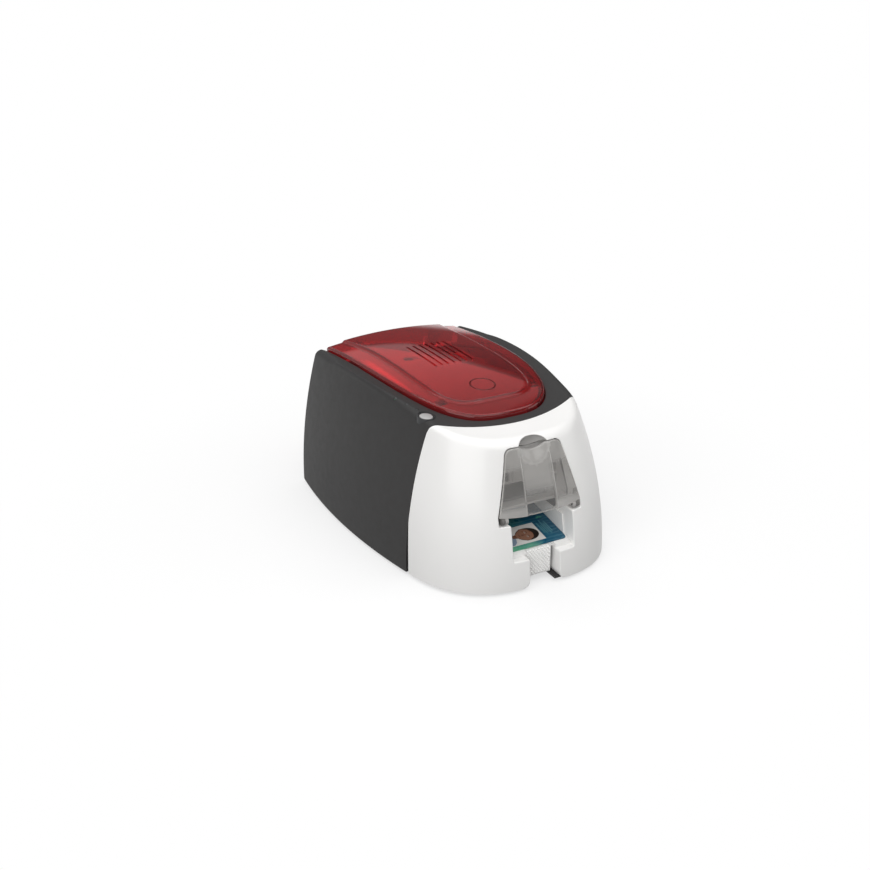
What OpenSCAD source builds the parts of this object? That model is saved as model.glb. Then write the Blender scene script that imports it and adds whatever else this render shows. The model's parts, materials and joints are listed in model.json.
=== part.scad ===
// Desktop card printer: a hinged transparent lid over the ribbon bay, a card feeder behind a
// hinged front cover, and an output hopper below it.
// Millimetres. X runs to the right, Y to the rear and Z up. The origin lies on the desk,
// under the middle of the body.

/* [Body shell] */
// Length of the body, front to rear
body_len = 279; // [274:1:284]
// Greatest width of the body, at its foot
body_w = 205; // [202:1:208]
// Height of the shoulders above the desk at their crest
shoulder_h = 137; // [135:1:139]
// Wall thickness of the housings
wall = 2.5; // [2:0.1:2.8]
// Height of the rubber feet under the body
foot_h = 2.5; // [2:0.5:3.5]
// How far the sides lean in between foot and shoulder
side_lean = 20.5; // [19:0.5:22]
// How far the front leans back between foot and shoulder
front_lean = 30; // [28:0.5:32]
// Length of the rounded nose
nose_len = 67.5; // [64:0.5:71]
// Radius of the edge along the shoulders
shoulder_r = 7; // [5:0.5:8]
// Radius of the edge over the nose
nose_r = 13; // [11:0.5:15]
// Depth of the collar that hangs down round the lid's opening
collar_depth = 7; // [5:0.5:8]
// Place of the seam between dark housing and front bezel on the sides
seam_y = -69; // [-71:1:-67]
// Width of the seam between two covers
seam_gap = 0.4; // [0.3:0.1:0.6]
// Thickness of the rear panel
rear_panel_t = 2.5; // [2:0.1:3]
// Thickness of the base tray
base_t = 2.5; // [2:0.1:3]

/* [Lid] */
// Width of the lid
lid_w = 134; // [131:1:136]
// Place of the lid's round front end
lid_tip_y = -79; // [-81:1:-77]
// Gap all round the lid
lid_gap = 0.7; // [0.5:0.1:1]
// Thickness of the lid
lid_t = 2.4; // [2:0.1:2.6]
// Height of the lid's rim above the housing
rim_h = 3.5; // [3:0.5:4]
// Depth of the lid's skirt inside the housing
skirt_h = 4; // [3:0.5:5]
// Rise of the lid's middle above its rim
lid_crown = 5.5; // [4.5:0.5:6.5]
// Height of the raised plateau's edge
step_h = 1.8; // [1.2:0.2:2.2]
// Half of the plateau's width
plateau_half = 48; // [46:1:50]
// Number of vent slots in the lid
vent_count = 7; // [5:1:9]
// Distance between vent slots
vent_pitch = 6; // [5:0.5:6.5]
// Length of a vent slot
vent_len = 58; // [50:1:62]
// Radius of the lid's hinge pins
hinge_pin_r = 2.5; // [2:0.1:3]

/* [Card path] */
// Length of a card
card_len = 85.6; // [85.6:0.1:85.8]
// Width of a card
card_w = 54; // [53.9:0.1:54.1]
// Thickness of a card
card_t = 0.76; // [0.5:0.02:0.8]
// Height of the card path
path_z = 62.2; // [61.8:0.2:62.6]
// Radius of the rollers that carry the card
roller_r = 6.5; // [6:0.1:6.8]
// Radius of the roller shafts
shaft_r = 3; // [2.5:0.1:3.2]
// Radius of the pinch rollers
pinch_r = 4.5; // [4:0.1:5]
// Slope of the card in the hopper, in degrees
hopper_slope = 9.5; // [8.5:0.5:10]

/* [Front openings] */
// Half of the gap between the two legs
leg_gap_half = 14; // [13:0.5:15]
// Half of the hopper's opening
hopper_half = 28.5; // [28:0.5:29]
// Height of the ledges at the hopper's mouth
ledge_z = 27.6; // [27:0.2:28.2]
// Height of the steps under the feeder cover
step_z = 58; // [57.5:0.5:58.5]
// Half width of the feeder cover at its foot
cover_foot_half = 37.5; // [36.5:0.5:38.5]
// Half width of the feeder cover at its top
cover_top_half = 24.4; // [23.4:0.5:25.4]
// Height of the feeder cover's lower edge
cover_foot_z = 65.6; // [65.2:0.2:66]
// Depth of the feeder cover's upper edge below the shoulders' crest
cover_drop = 21.5; // [20.5:0.5:22.5]
// Thickness of the feeder cover
cover_t = 2.2; // [1.8:0.1:2.6]
// Gap round the feeder cover
cover_gap = 0.6; // [0.5:0.1:0.8]
// Radius of the finger dish at the cover's top
dish_r = 14; // [13:0.5:15]
// Depth of the finger dish
dish_depth = 4; // [3:0.5:4.5]
// Half width of the finger scoop over the cover
scoop_half = 13.5; // [12.5:0.5:14]
// Radius of the feeder cover's hinge pins
cover_pin_r = 1.5; // [1.3:0.1:1.6]

/* [Gears and spools] */
// Tooth size of the gears
gear_module = 1; // [1:0.005:1.01]
// Play between meshing teeth
gear_play = 0.3; // [0.2:0.05:0.4]
// Width of the gears
gear_w = 5; // [4:0.5:5]
// Radius of the ribbon cores
core_r = 6.5; // [6:0.1:7]
// Radius of the fresh ribbon on the supply core
supply_r = 15; // [12:0.5:16]
// Radius of the used ribbon on the take-up core
takeup_r = 9.5; // [8:0.5:12]
// Width of the ribbon
ribbon_w = 60; // [58:0.5:62]
// Size of the square feed motor
feed_motor_w = 35.2; // [34:0.2:36]
// Radius of the ribbon motor
ribbon_motor_r = 12; // [10:0.5:13]

/* [Controls and sockets] */
// Radius of the power button
button_r = 6; // [5:0.5:6.5]
// Travel of the power button
button_travel = 0.8; // [0.5:0.1:1]
// Radius of the light pipes
light_r = 1.2; // [1:0.1:1.4]
// Radius of the rubber feet
foot_r = 8; // [7:0.5:9]
// Radius of the round power socket's hole
jack_r = 3; // [2.5:0.1:3.2]

/* [Hidden] */
$fn = 48;

// Running clearance of a shaft in its bore
run = 0.05;
// Clearance between parts that stay clear of each other
clear = 0.4;
// Clearance between a part and the seat that it stands against
seat = 0.1;
// Overshoot of a cut past the face that it opens
over = 1;
// Inner face and thickness of the chassis' side frames
frame_in = 34;
frame_t = 2;

// ---- body form -------------------------------------------------------------------------

rear_y = body_len / 2;
front_y = -body_len / 2;
nose_y = front_y + nose_len;
cover_top_z = shoulder_h - cover_drop;
// The sides bow out in plan and are widest at widest_y
widest_y = 54;
side_bow = 8.1;
nose_power = 3;
// Height over which the leans are measured
lean_h = shoulder_h - 9;
crest_y = 20;
rear_drop = 8;
front_drop = 22;
// Fall of the top from the shoulder to the lid's edge
rail_drop = 2;
// Angle at which the leaning wall runs into the shoulder's edge
lean_angle = 20;

side_n = 12;
nose_n = 12;
wall_n = 6;
edge_n = 4;
top_n = 3;

function half_w(y) = body_w / 2 - side_bow * pow((y - widest_y) / 100, 2);
function top_z(y) = shoulder_h - (y > crest_y
    ? rear_drop * pow((y - crest_y) / (rear_y - crest_y), 2)
    : front_drop * pow((crest_y - y) / (crest_y - front_y), 2));
function lean(z) = pow((z - foot_h) / lean_h, 2);
// A point of the foot's outline, carried up the leaning wall to height z
function up_wall(p, z) = [
    p.x * (1 - 2 * side_lean / body_w * lean(z)),
    rear_y - (rear_y - p.y) * (1 - front_lean / body_len * lean(z)),
    z
];
// Right half of the foot's outline, rear to nose, as [x, y, share of the nose]
function foot_half() = [
    for (i = [0 : side_n - 1]) let (y = rear_y + (nose_y - rear_y) * i / side_n)
        [half_w(y), y, 0],
    for (i = [0 : nose_n])
        let (a = 90 * i / nose_n, y = nose_y - nose_len * pow(sin(a), 2 / nose_power))
        [half_w(y) * pow(max(cos(a), 0), 2 / nose_power), y, pow(sin(a), 2)]
];
// Place of the front wall's outer face above the foot, at width x and height z
function front_face(x, z) =
    let (foot_x = abs(x) / (1 - 2 * side_lean / body_w * lean(z)),
         share = pow(foot_x / half_w(front_y + nose_len / 4), nose_power),
         y = nose_y - nose_len * pow(1 - share, 1 / nose_power))
    up_wall([foot_x, y], z).y;

// Outline of the lid, rear to tip, grown outwards, with as many points as foot_half()
lid_round_y = rear_y - 54.5;
lid_power = 3;
lid_spread = 0.8;
lid_start = 3;
function lid_half(grow) = [
    for (i = [0 : lid_start - 1]) let (y = rear_y + (lid_round_y - rear_y) * i / lid_start)
        [lid_w / 2 + grow, y],
    for (i = [lid_start : side_n + nose_n])
        let (a = 90 * pow((i - lid_start) / (side_n + nose_n - lid_start), lid_spread))
        [(lid_w / 2 + grow) * pow(max(cos(a), 0), 2 / lid_power),
         lid_round_y - (lid_round_y - lid_tip_y + grow) * pow(sin(a), 2 / lid_power)]
];
function lid_edge(y) = lid_w / 2 * pow(
    1 - pow((lid_round_y - y) / (lid_round_y - lid_tip_y), lid_power), 1 / lid_power);
function edge_z(y) = top_z(y) - rail_drop;

// One column of the shell: up the wall, round the shoulder, in to the lid's opening and down
function column(foot, edge) =
    let (r = shoulder_r + (nose_r - shoulder_r) * foot[2],
         crown = top_z(up_wall(foot, lean_h).y),
         start_z = crown - r * (1 - sin(lean_angle)),
         start = up_wall(foot, start_z),
         way = [edge.x - start.x, edge.y - start.y],
         unit = way / norm(way),
         turn = r * cos(lean_angle),
         ridge = [start.x + unit.x * turn, start.y + unit.y * turn],
         edge_top = edge_z(edge.y))
    [
        for (k = [0 : wall_n]) up_wall(foot, foot_h + (start_z - foot_h) * k / wall_n),
        for (k = [1 : edge_n])
            let (a = lean_angle + (90 - lean_angle) * k / edge_n,
                 d = r * (cos(lean_angle) - cos(a)))
            [start.x + unit.x * d, start.y + unit.y * d, crown - r + r * sin(a)],
        for (k = [1 : top_n]) let (s = k / top_n)
            [ridge.x + (edge.x - ridge.x) * s, ridge.y + (edge.y - ridge.y) * s,
             crown + (edge_top - crown) * s],
        [edge.x, edge.y, edge_top - collar_depth]
    ];
function half_grid() = let (foot = foot_half(), edge = lid_half(lid_gap))
    [for (i = [0 : len(foot) - 1]) column(foot[i], edge[i])];
function flip(p) = [-p.x, p.y, p.z];
// Columns from the rear right round the nose to the rear left
function mirrored(half) = concat(half,
    [for (i = [len(half) - 2 : -1 : 0]) [for (p = half[i]) flip(p)]]);

// ---- sheets and solids from grids of points --------------------------------------------

function clamp(i, n) = max(0, min(n - 1, i));
function outward(g, i, j) =
    let (n = len(g), m = len(g[0]),
         across = g[clamp(i + 1, n)][j] - g[clamp(i - 1, n)][j],
         along = g[i][clamp(j + 1, m)] - g[i][clamp(j - 1, m)],
         c = cross(along, across))
    c / norm(c);
// The grid moved outwards by t
function shifted(g, t) = [for (i = [0 : len(g) - 1])
    [for (j = [0 : len(g[0]) - 1]) g[i][j] + outward(g, i, j) * t]];

// Closed solid between an inner and an outer grid of the same size
module between(inner, outer) {
    n = len(inner);
    m = len(inner[0]);
    function at(s, i, j) = s * n * m + i * m + j;
    points = [for (g = [inner, outer]) for (row = g) each row];
    faces = [
        for (i = [0 : n - 2]) for (j = [0 : m - 2]) each [
            [at(0, i, j), at(0, i, j + 1), at(0, i + 1, j + 1), at(0, i + 1, j)],
            [at(1, i, j), at(1, i + 1, j), at(1, i + 1, j + 1), at(1, i, j + 1)]],
        for (i = [0 : n - 2]) each [
            [at(0, i, 0), at(0, i + 1, 0), at(1, i + 1, 0), at(1, i, 0)],
            [at(0, i, m - 1), at(1, i, m - 1), at(1, i + 1, m - 1), at(0, i + 1, m - 1)]],
        for (j = [0 : m - 2]) each [
            [at(0, 0, j), at(1, 0, j), at(1, 0, j + 1), at(0, 0, j + 1)],
            [at(0, n - 1, j), at(0, n - 1, j + 1), at(1, n - 1, j + 1), at(1, n - 1, j)]]
    ];
    triangles = [for (f = faces) each [[f[0], f[1], f[2]], [f[0], f[2], f[3]]]];
    polyhedron(points, triangles);
}

// Joins its children into one mesh; a size of 0 leaves their size as it is
module one_mesh() {
    resize([0, 0, 0]) union() children();
}

// A profile drawn in Y and Z, extruded from x0 to x1
module along_x(x0, x1) {
    translate([x0, 0, 0]) rotate([90, 0, 90]) linear_extrude(x1 - x0) children();
}

// A round bar along X
module rod(x0, x1, r, y, z) {
    translate([x0, y, z]) rotate([0, 90, 0]) cylinder(h = x1 - x0, r = r);
}

// A box given by its two corners
module block(low, high) {
    translate(low) cube(high - low);
}

// Its children and their mirror image on the left
module both_sides() {
    children();
    mirror([1, 0, 0]) children();
}

// ---- housings --------------------------------------------------------------------------

dark_grey = "#4a4848";
warm_white = "#eeece9";
pale_grey = "#b9b8b6";
lamp_black = "#1d1d1f";
steel = "#a9abad";
rubber = "#26272a";

module shell() {
    outer = mirrored(half_grid());
    moved = shifted(outer, -wall);
    // The inner face ends level with the foot
    inner = [for (row = moved)
        [for (k = [0 : len(row) - 1]) k == 0 ? [row[k].x, row[k].y, foot_h] : row[k]]];
    between(inner, outer);
}

// The seam runs straight down the sides and bows forward across the top
seam_half = 70;
seam_bow = 20;
seam_n = 16;
function seam(x) = seam_y - seam_bow * (1 - pow(abs(x) / seam_half, 2));
// Everything in front of the seam, less back_off
module front_region(back_off) {
    linear_extrude(shoulder_h + over)
        polygon([
            [body_w, front_y - over],
            [body_w, seam_y - back_off],
            for (i = [seam_n : -1 : -seam_n]) let (x = i / seam_n * seam_half)
                [x, seam(x) - back_off],
            [-body_w, seam_y - back_off],
            [-body_w, front_y - over]
        ]);
}

button_at = [38.5 - body_w / 2, seam_y + 12];
light_at = [for (d = [[-2, 12], [-5.5, 23], [-9, 37]]) button_at + d];
board_drop = 17.4;
board_top = shoulder_h - board_drop;
guide_t = 1.3;
guide_r = button_r + run + guide_t;

module main_housing() {
    color(dark_grey) one_mesh() difference() {
        shell();
        front_region(-seam_gap / 2);
        translate([button_at.x, button_at.y, board_top])
            cylinder(h = board_drop + over, r = guide_r + seat);
        for (p = light_at)
            translate([p.x, p.y, board_top])
                cylinder(h = board_drop + over, r = light_r + 2 * seat, $fn = 20);
    }
}

// Outline of the front openings in X and Z, right half: leg gap, hopper and niche
niche_foot_half = cover_foot_half + cover_gap;
niche_round = 6;
// The upper edge dips in the middle, where a finger reaches behind it
dip_half = 12;
dip_depth = 4;
module cover_outline(grow) {
    low = [cover_foot_half + grow, cover_foot_z];
    high = [cover_top_half + grow, cover_top_z + grow];
    difference() {
        hull() for (s = [-1, 1]) {
            translate([s * (high.x - niche_round), high.y - niche_round]) circle(niche_round);
            translate([s * (low.x - 0.5) - 0.5, low.y]) square([1, 1]);
        }
        translate([0, high.y]) scale([dip_half - grow, dip_depth]) circle(1);
    }
}
leg_round = 6;
module front_openings() {
    translate([-leg_gap_half, -over]) square([2 * leg_gap_half, ledge_z + 2 * over]);
    for (s = [-1, 1]) difference() {
        translate([s * (leg_gap_half + leg_round / 2) - leg_round / 2 - over / 2, foot_h - over])
            square([leg_round + over, leg_round + over]);
        translate([s * (leg_gap_half + leg_round), foot_h + leg_round]) circle(leg_round);
    }
    translate([-hopper_half, ledge_z]) square([2 * hopper_half, step_z - ledge_z + over]);
    translate([-niche_foot_half, step_z])
        square([2 * niche_foot_half, cover_foot_z - step_z + over]);
    cover_outline(cover_gap);
}
// A profile drawn in X and Z, extruded over the depth of the front
front_depth = 50;
module through_front() {
    translate([0, front_y + front_depth, 0]) rotate([90, 0, 0])
        linear_extrude(front_depth + over) children();
}
// Slab behind the front wall, that the openings' inner walls are cut from
slab_half = cover_foot_half + 6.5;
slab_top = cover_top_z + 2.5;
slab_rear_y = front_y + 30;
slab_in = 0.8;
flange_t = 2;
slab_nx = 16;
slab_nz = 10;
module front_slab() {
    z0 = foot_h + base_t + seat;
    function at(i, j, y) = [
        slab_half * (1 - 2 * i / slab_nx), y, z0 + (slab_top - z0) * j / slab_nz];
    function face(p) = [p.x, front_face(p.x, p.z) + slab_in, p.z];
    outer = [for (i = [0 : slab_nx]) [for (j = [0 : slab_nz]) face(at(i, j, 0))]];
    inner = [for (i = [0 : slab_nx]) [for (j = [0 : slab_nz]) at(i, j, slab_rear_y)]];
    between(inner, outer);
}
// Finger scoop over the cover, with its own wall behind the bezel's rounded edge
scoop_at = [0, front_face(0, cover_top_z), cover_top_z - 2];
scoop_deep = 10;
scoop_high = 10.6;
scoop_t = 1.5;
scoop_in = 0.7;
module scoop(grow) {
    translate(scoop_at)
        scale([scoop_half + grow, scoop_deep + grow, scoop_high + grow]) sphere(1, $fn = 40);
}
// Section of the nose in Y and Z, from its wall to the lid's tip
module nose_section() {
    column = half_grid()[side_n + nose_n];
    points = [for (p = column) [p.y, p.z]];
    polygon(concat(points, [[column[len(column) - 1].y, foot_h]]));
}
module front_bezel() {
    color(warm_white) one_mesh() difference() {
        union() {
            intersection() {
                shell();
                front_region(seam_gap / 2);
            }
            intersection() {
                front_slab();
                through_front() offset(delta = flange_t) front_openings();
            }
            intersection() {
                scoop(scoop_t);
                along_x(-scoop_half - 2 * scoop_t, scoop_half + 2 * scoop_t)
                    offset(delta = -scoop_in) nose_section();
            }
        }
        through_front() front_openings();
        scoop(0);
    }
}

rear_panel_top = shoulder_h - 25;
board_z = 12;
board_t = 1.6;
socket_half = [7, 6];
usb_at = [16, board_z + board_t + socket_half.y];
power_at = [-18, board_z + board_t + socket_half.y];
module rear_section() {
    right = [for (p = half_grid()[0]) [p.x, p.z]];
    left = [for (i = [len(right) - 1 : -1 : 0]) [-right[i].x, right[i].y]];
    polygon(concat(right, left));
}
// Vent slots of the rear panel, and the slot for a security lock
vent_slots = 7;
vent_slot = [30, 2.5];
vent_step = 6;
vent_at = [body_w / 2 - 57.5, 60];
lock_slot = [3, 7];
lock_at = [18.5 - body_w / 2, 20];
// A cut through the rear panel, from its lower left corner
module rear_slot(at, size) {
    block([at.x, rear_y - 2 * rear_panel_t, at.y], [at.x + size.x, rear_y + over, at.y + size.y]);
}
module rear_panel() {
    lid_room = lid_w / 2 + lid_gap + wall + clear;
    color(dark_grey) difference() {
        translate([0, rear_y, 0]) rotate([90, 0, 0]) linear_extrude(rear_panel_t)
            difference() {
                offset(delta = -(wall + seat)) rear_section();
                translate([-lid_room, rear_panel_top]) square([2 * lid_room, shoulder_h]);
            }
        for (p = [usb_at, power_at])
            rear_slot(p - socket_half - [seat, seat], 2 * (socket_half + [seat, seat]));
        for (i = [0 : vent_slots - 1])
            rear_slot(vent_at + [0, vent_step * i], vent_slot);
        rear_slot(lock_at, lock_slot);
    }
}

base_top = foot_h + base_t;
foot_at = [[body_w / 2 - 24.5, rear_y - 27.5], [body_w / 2 - 36.5, seam_y - 19]];
screw_x = frame_in + frame_t + 5;
screw_at = [[screw_x, 20], [screw_x, rear_y - 29.5], [screw_x, -52]];
screw_r = 1.5;
screw_head_r = 3;
screw_head_h = 1.5;
// Depth of the tray's notch under the grip panel
notch_deep = 30;
module base_tray() {
    half = foot_half();
    outline = concat([for (p = half) [p.x, p.y]],
        [for (i = [len(half) - 2 : -1 : 0]) [-half[i].x, half[i].y]]);
    color(dark_grey) difference() {
        translate([0, 0, foot_h]) linear_extrude(base_t) intersection() {
            offset(delta = -(wall + 0.3)) polygon(outline);
            translate([-body_w, front_y]) square([2 * body_w, body_len - rear_panel_t - seat]);
        }
        both_sides() for (p = screw_at) translate([p.x, p.y, 0]) {
            cylinder(h = 20, r = screw_r + run);
            cylinder(h = foot_h + screw_head_h, r = screw_head_r + run);
        }
        block([-leg_gap_half, front_y, 0], [leg_gap_half - grip_gap, front_y + notch_deep, 20]);
    }
}
module rubber_feet() {
    color(rubber) both_sides() for (p = foot_at)
        translate([p.x, p.y, 0]) cylinder(h = foot_h, r = foot_r);
}
flange_h = 2;
module base_screws() {
    color(steel) both_sides() for (p = screw_at) translate([p.x, p.y, foot_h]) {
        cylinder(h = screw_head_h, r = screw_head_r);
        cylinder(h = base_t + flange_h, r = screw_r);
    }
}

// ---- hopper and feeder -----------------------------------------------------------------

hopper_front_y = front_y + 8.5;
hopper_rear_y = -40;
hopper_lip_z = ledge_z + 3.7;
hopper_side_z = 50;
hopper_floor_t = 2;
tray_half = hopper_half - 2 * seat;
tray_wall = 1;
function hopper_z(y) = hopper_lip_z + (y - hopper_front_y) * tan(hopper_slope);
module hopper_tray() {
    color(warm_white) difference() {
        union() {
            along_x(-tray_half, tray_half) polygon([
                [hopper_front_y, ledge_z + seat],
                [hopper_front_y, hopper_z(hopper_front_y)],
                [hopper_rear_y, hopper_z(hopper_rear_y)],
                [hopper_rear_y, hopper_z(hopper_rear_y) - hopper_floor_t],
                [hopper_front_y + 19, ledge_z + seat]
            ]);
            both_sides() along_x(tray_half - tray_wall, tray_half) polygon([
                [hopper_front_y + 8, ledge_z + 3],
                [hopper_front_y + 12, hopper_side_z],
                [hopper_rear_y, hopper_side_z],
                [hopper_rear_y, hopper_z(hopper_rear_y) - hopper_floor_t]
            ]);
        }
        block([-leg_gap_half, hopper_front_y - over, ledge_z - over],
              [leg_gap_half, grip_y + grip_t + seat, hopper_side_z]);
    }
}
grip_y = hopper_front_y + 2;
grip_t = 2;
grip_pitch = 3;
grip_gap = 3;
grip_low = foot_h + 4;
module grip_panel() {
    high = hopper_lip_z - 0.2;
    wide = 2 * leg_gap_half - grip_gap - 0.3;
    left = 0.3 - leg_gap_half;
    color(warm_white) {
        block([left, grip_y, grip_low], [left + wide, grip_y + grip_t, high]);
        for (i = [0 : floor(wide / grip_pitch) - 1])
            for (j = [0 : floor((high - grip_low) / grip_pitch) - 1])
                translate([left + (i + 0.5) * grip_pitch, grip_y, grip_low + (j + 0.5) * grip_pitch])
                    rotate([90, 45, 0]) cylinder(h = grip_pitch / 4, r1 = 1.3, r2 = 0.2, $fn = 4);
    }
}
card_round = 3.2;
module card_blank() {
    linear_extrude(card_t) hull() for (x = [-1, 1]) for (y = [card_round, card_len - card_round])
        translate([x * (card_w / 2 - card_round), y]) circle(card_round);
}
module printed_card() {
    color("#0d5f80")
        translate([0, hopper_front_y + 3, hopper_z(hopper_front_y + 3) + seat])
            rotate([hopper_slope, 0, 0]) card_blank();
}

feeder_floor_z = path_z - 0.3;
feeder_floor_t = 2.2;
feeder_half = card_w / 2 + 0.5;
feeder_wall = 2.5;
feeder_front_y = front_y + 31.5;
feeder_rear_y = -34;
feeder_top_z = path_z + 29.8;
face_t = 2;
cover_hinge = [front_y + 11.5, path_z - 0.2];
eye_r = 3;
lug_in = feeder_half + feeder_wall + 0.2;
lug_t = 2.6;
pick_y = -62;
roller_pitch = 40;
front_roller_y = pick_y + roller_pitch;
platen_y = front_roller_y + roller_pitch;
rear_roller_y = platen_y + roller_pitch;
roller_z = path_z - roller_r;
roller_half = 26;
// Place and reach of the pusher's tabs in the side walls' slots
pusher_tab_y = [feeder_front_y + 28, feeder_front_y + 32];
pusher_low = path_z + 0.3;
pusher_t = 2.2;
pusher_travel = 10;
module feeder_housing() {
    window = [17, 27, feeder_top_z - 8, cover_top_z - 14.5];
    color(pale_grey) difference() {
        union() {
            block([-feeder_half - feeder_wall, feeder_front_y, feeder_floor_z - feeder_floor_t],
                  [feeder_half + feeder_wall, feeder_rear_y, feeder_floor_z]);
            both_sides() {
                block([feeder_half, feeder_front_y, feeder_floor_z - feeder_floor_t],
                      [feeder_half + feeder_wall, feeder_rear_y, feeder_top_z]);
                hull() {
                    rod(lug_in, lug_in + lug_t, eye_r, cover_hinge.x, cover_hinge.y);
                    block([lug_in, feeder_front_y, cover_hinge.y - eye_r],
                          [lug_in + lug_t, feeder_front_y + 1, cover_hinge.y + eye_r]);
                }
            }
            block([-feeder_half - feeder_wall, feeder_front_y, feeder_top_z],
                  [feeder_half + feeder_wall, feeder_rear_y, feeder_top_z + 2]);
            block([-feeder_half, feeder_rear_y - 2, path_z + 1.5 * card_t],
                  [feeder_half, feeder_rear_y, feeder_top_z]);
            translate([0, feeder_front_y + face_t, 0]) rotate([90, 0, 0])
                linear_extrude(face_t) difference() {
                    intersection() {
                        offset(delta = -0.3) front_openings();
                        translate([-body_w / 2, feeder_floor_z - feeder_floor_t])
                            square([body_w, shoulder_h]);
                    }
                    translate([-feeder_half, feeder_floor_z])
                        square([2 * feeder_half, feeder_top_z - 10 - feeder_floor_z]);
                    for (s = [0, 1]) mirror([s, 0]) translate([window[0], window[2]])
                        square([window[1] - window[0], window[3] - window[2]]);
                }
            block([-leg_gap_half, feeder_front_y - 1.5, feeder_top_z - 9],
                  [leg_gap_half, feeder_front_y, cover_top_z - 13.5]);
        }
        both_sides() rod(lug_in - over, lug_in + lug_t + over, cover_pin_r + run,
                         cover_hinge.x, cover_hinge.y);
        block([-roller_half - over, pick_y - roller_r - 2.5, roller_z],
              [roller_half + over, pick_y + roller_r + 2.5, feeder_floor_z + over]);
        block([-feeder_half - 5, pusher_tab_y[0] - clear, feeder_floor_z],
              [feeder_half + 5, pusher_tab_y[1] + clear,
               pusher_low + pusher_t + pusher_travel + clear]);
    }
}
module card_pusher() {
    high = pusher_low + pusher_t;
    reach = feeder_half + feeder_wall;
    color(pale_grey) difference() {
        union() {
            block([5 - feeder_half, feeder_front_y + 8, pusher_low],
                  [feeder_half - 5, feeder_rear_y - 8, high]);
            block([-reach, pusher_tab_y[0], pusher_low], [reach, pusher_tab_y[1], high]);
        }
        both_sides() translate([12, pick_y + 2, 0]) cylinder(h = 2 * path_z, r = 4);
    }
}

// The cover follows the front wall and is dished at its top
cover_nx = 20;
cover_nz = 14;
cover_proud = 0.6;
function dish(x, z) =
    let (r = norm([x, z - cover_top_z]) / dish_r)
    r < 1 ? dish_depth * pow(1 - r * r, 1) : 0;
function cover_half(z) = cover_foot_half + (cover_top_half - cover_foot_half)
    * (z - cover_foot_z) / (cover_top_z - cover_foot_z);
module feeder_cover() {
    function at(i, j, depth) =
        let (z = cover_foot_z - 2 + (cover_top_z - cover_foot_z + 4) * j / cover_nz,
             x = (cover_half(z) + 3.7) * (1 - 2 * i / cover_nx))
        [x, front_face(x, z) - cover_proud + depth + dish(x, z), z];
    outer = [for (i = [0 : cover_nx]) [for (j = [0 : cover_nz]) at(i, j, 0)]];
    inner = [for (i = [0 : cover_nx]) [for (j = [0 : cover_nz]) at(i, j, cover_t)]];
    color("#9c9894", 0.6) one_mesh() intersection() {
        between(inner, outer);
        through_front() cover_outline(0);
    }
}
ear_in = lug_in + lug_t + clear;
ear_t = 2.6;
module feeder_cover_ears() {
    foot_y = front_face(ear_in + ear_t, cover_foot_z + 8) - cover_proud + cover_t + seat;
    color("#9c9894") both_sides() {
        rod(ear_in, ear_in + ear_t, eye_r, cover_hinge.x, cover_hinge.y);
        hull() {
            rod(ear_in, ear_in + ear_t, eye_r / 2, cover_hinge.x + 1.4, cover_hinge.y + 1);
            block([ear_in, foot_y, cover_foot_z + 4], [ear_in + ear_t, foot_y + 2, cover_foot_z + 8]);
        }
        rod(lug_in + 0.2, ear_in, cover_pin_r, cover_hinge.x, cover_hinge.y);
    }
}
gate_at = [-31, 54];
gate_pin_r = 1.5;
module card_gate() {
    color(lamp_black) {
        rod(-frame_in - frame_t, frame_in + frame_t, gate_pin_r, gate_at.x, gate_at.y);
        along_x(-26, 26) polygon([
            [gate_at.x - 1.2, gate_at.y - 1],
            [gate_at.x + 1.2, gate_at.y - 1],
            [gate_at.x + 0.6, path_z - 1],
            [gate_at.x - 0.6, path_z - 1]
        ]);
    }
}

// ---- lid -------------------------------------------------------------------------------

function lid_top(x, y) =
    let (share = max(0, (y - lid_tip_y) / (rear_y - lid_tip_y)))
    edge_z(y) + rim_h + lid_crown * pow(share, 0.65) * (1 - pow(2 * x / lid_w, 2));
lid_nx = 20;
lid_ny = 25;
// Solid between a flat floor and the lid's top face, raised by lift
module under_lid(lift, floor_z) {
    half = lid_w / 2 + over;
    function at(i, j) = [
        half * (2 * j / lid_nx - 1),
        lid_tip_y - over + (rear_y + 2 * over - lid_tip_y) * i / lid_ny
    ];
    upper = [for (i = [0 : lid_ny]) [for (j = [0 : lid_nx])
        let (p = at(i, j)) [p.x, p.y, lid_top(p.x, p.y) + lift]]];
    lower = [for (row = upper) [for (p = row) [p.x, p.y, floor_z]]];
    between(lower, upper);
}
lid_floor = shoulder_h - 37;
module above_skirt() {
    half = lid_w / 2 + 2 * over;
    function at(i, j) = [
        half * (2 * j - 1),
        lid_tip_y - 2 * over + (rear_y + 4 * over - lid_tip_y) * i / lid_ny
    ];
    lower = [for (i = [0 : lid_ny]) [for (j = [0, 1])
        let (p = at(i, j)) [p.x, p.y, edge_z(p.y) - skirt_h]]];
    upper = [for (row = lower) [for (p = row) [p.x, p.y, 2 * shoulder_h]]];
    between(lower, upper);
}
module lid_outline(grow) {
    half = lid_half(grow);
    polygon(concat(half, [for (i = [len(half) - 2 : -1 : 0]) [-half[i].x, half[i].y]]));
}
plateau_front_y = -59;
plateau_power = 4.5;
plateau_flare = 5;
plateau_n = 14;
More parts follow.
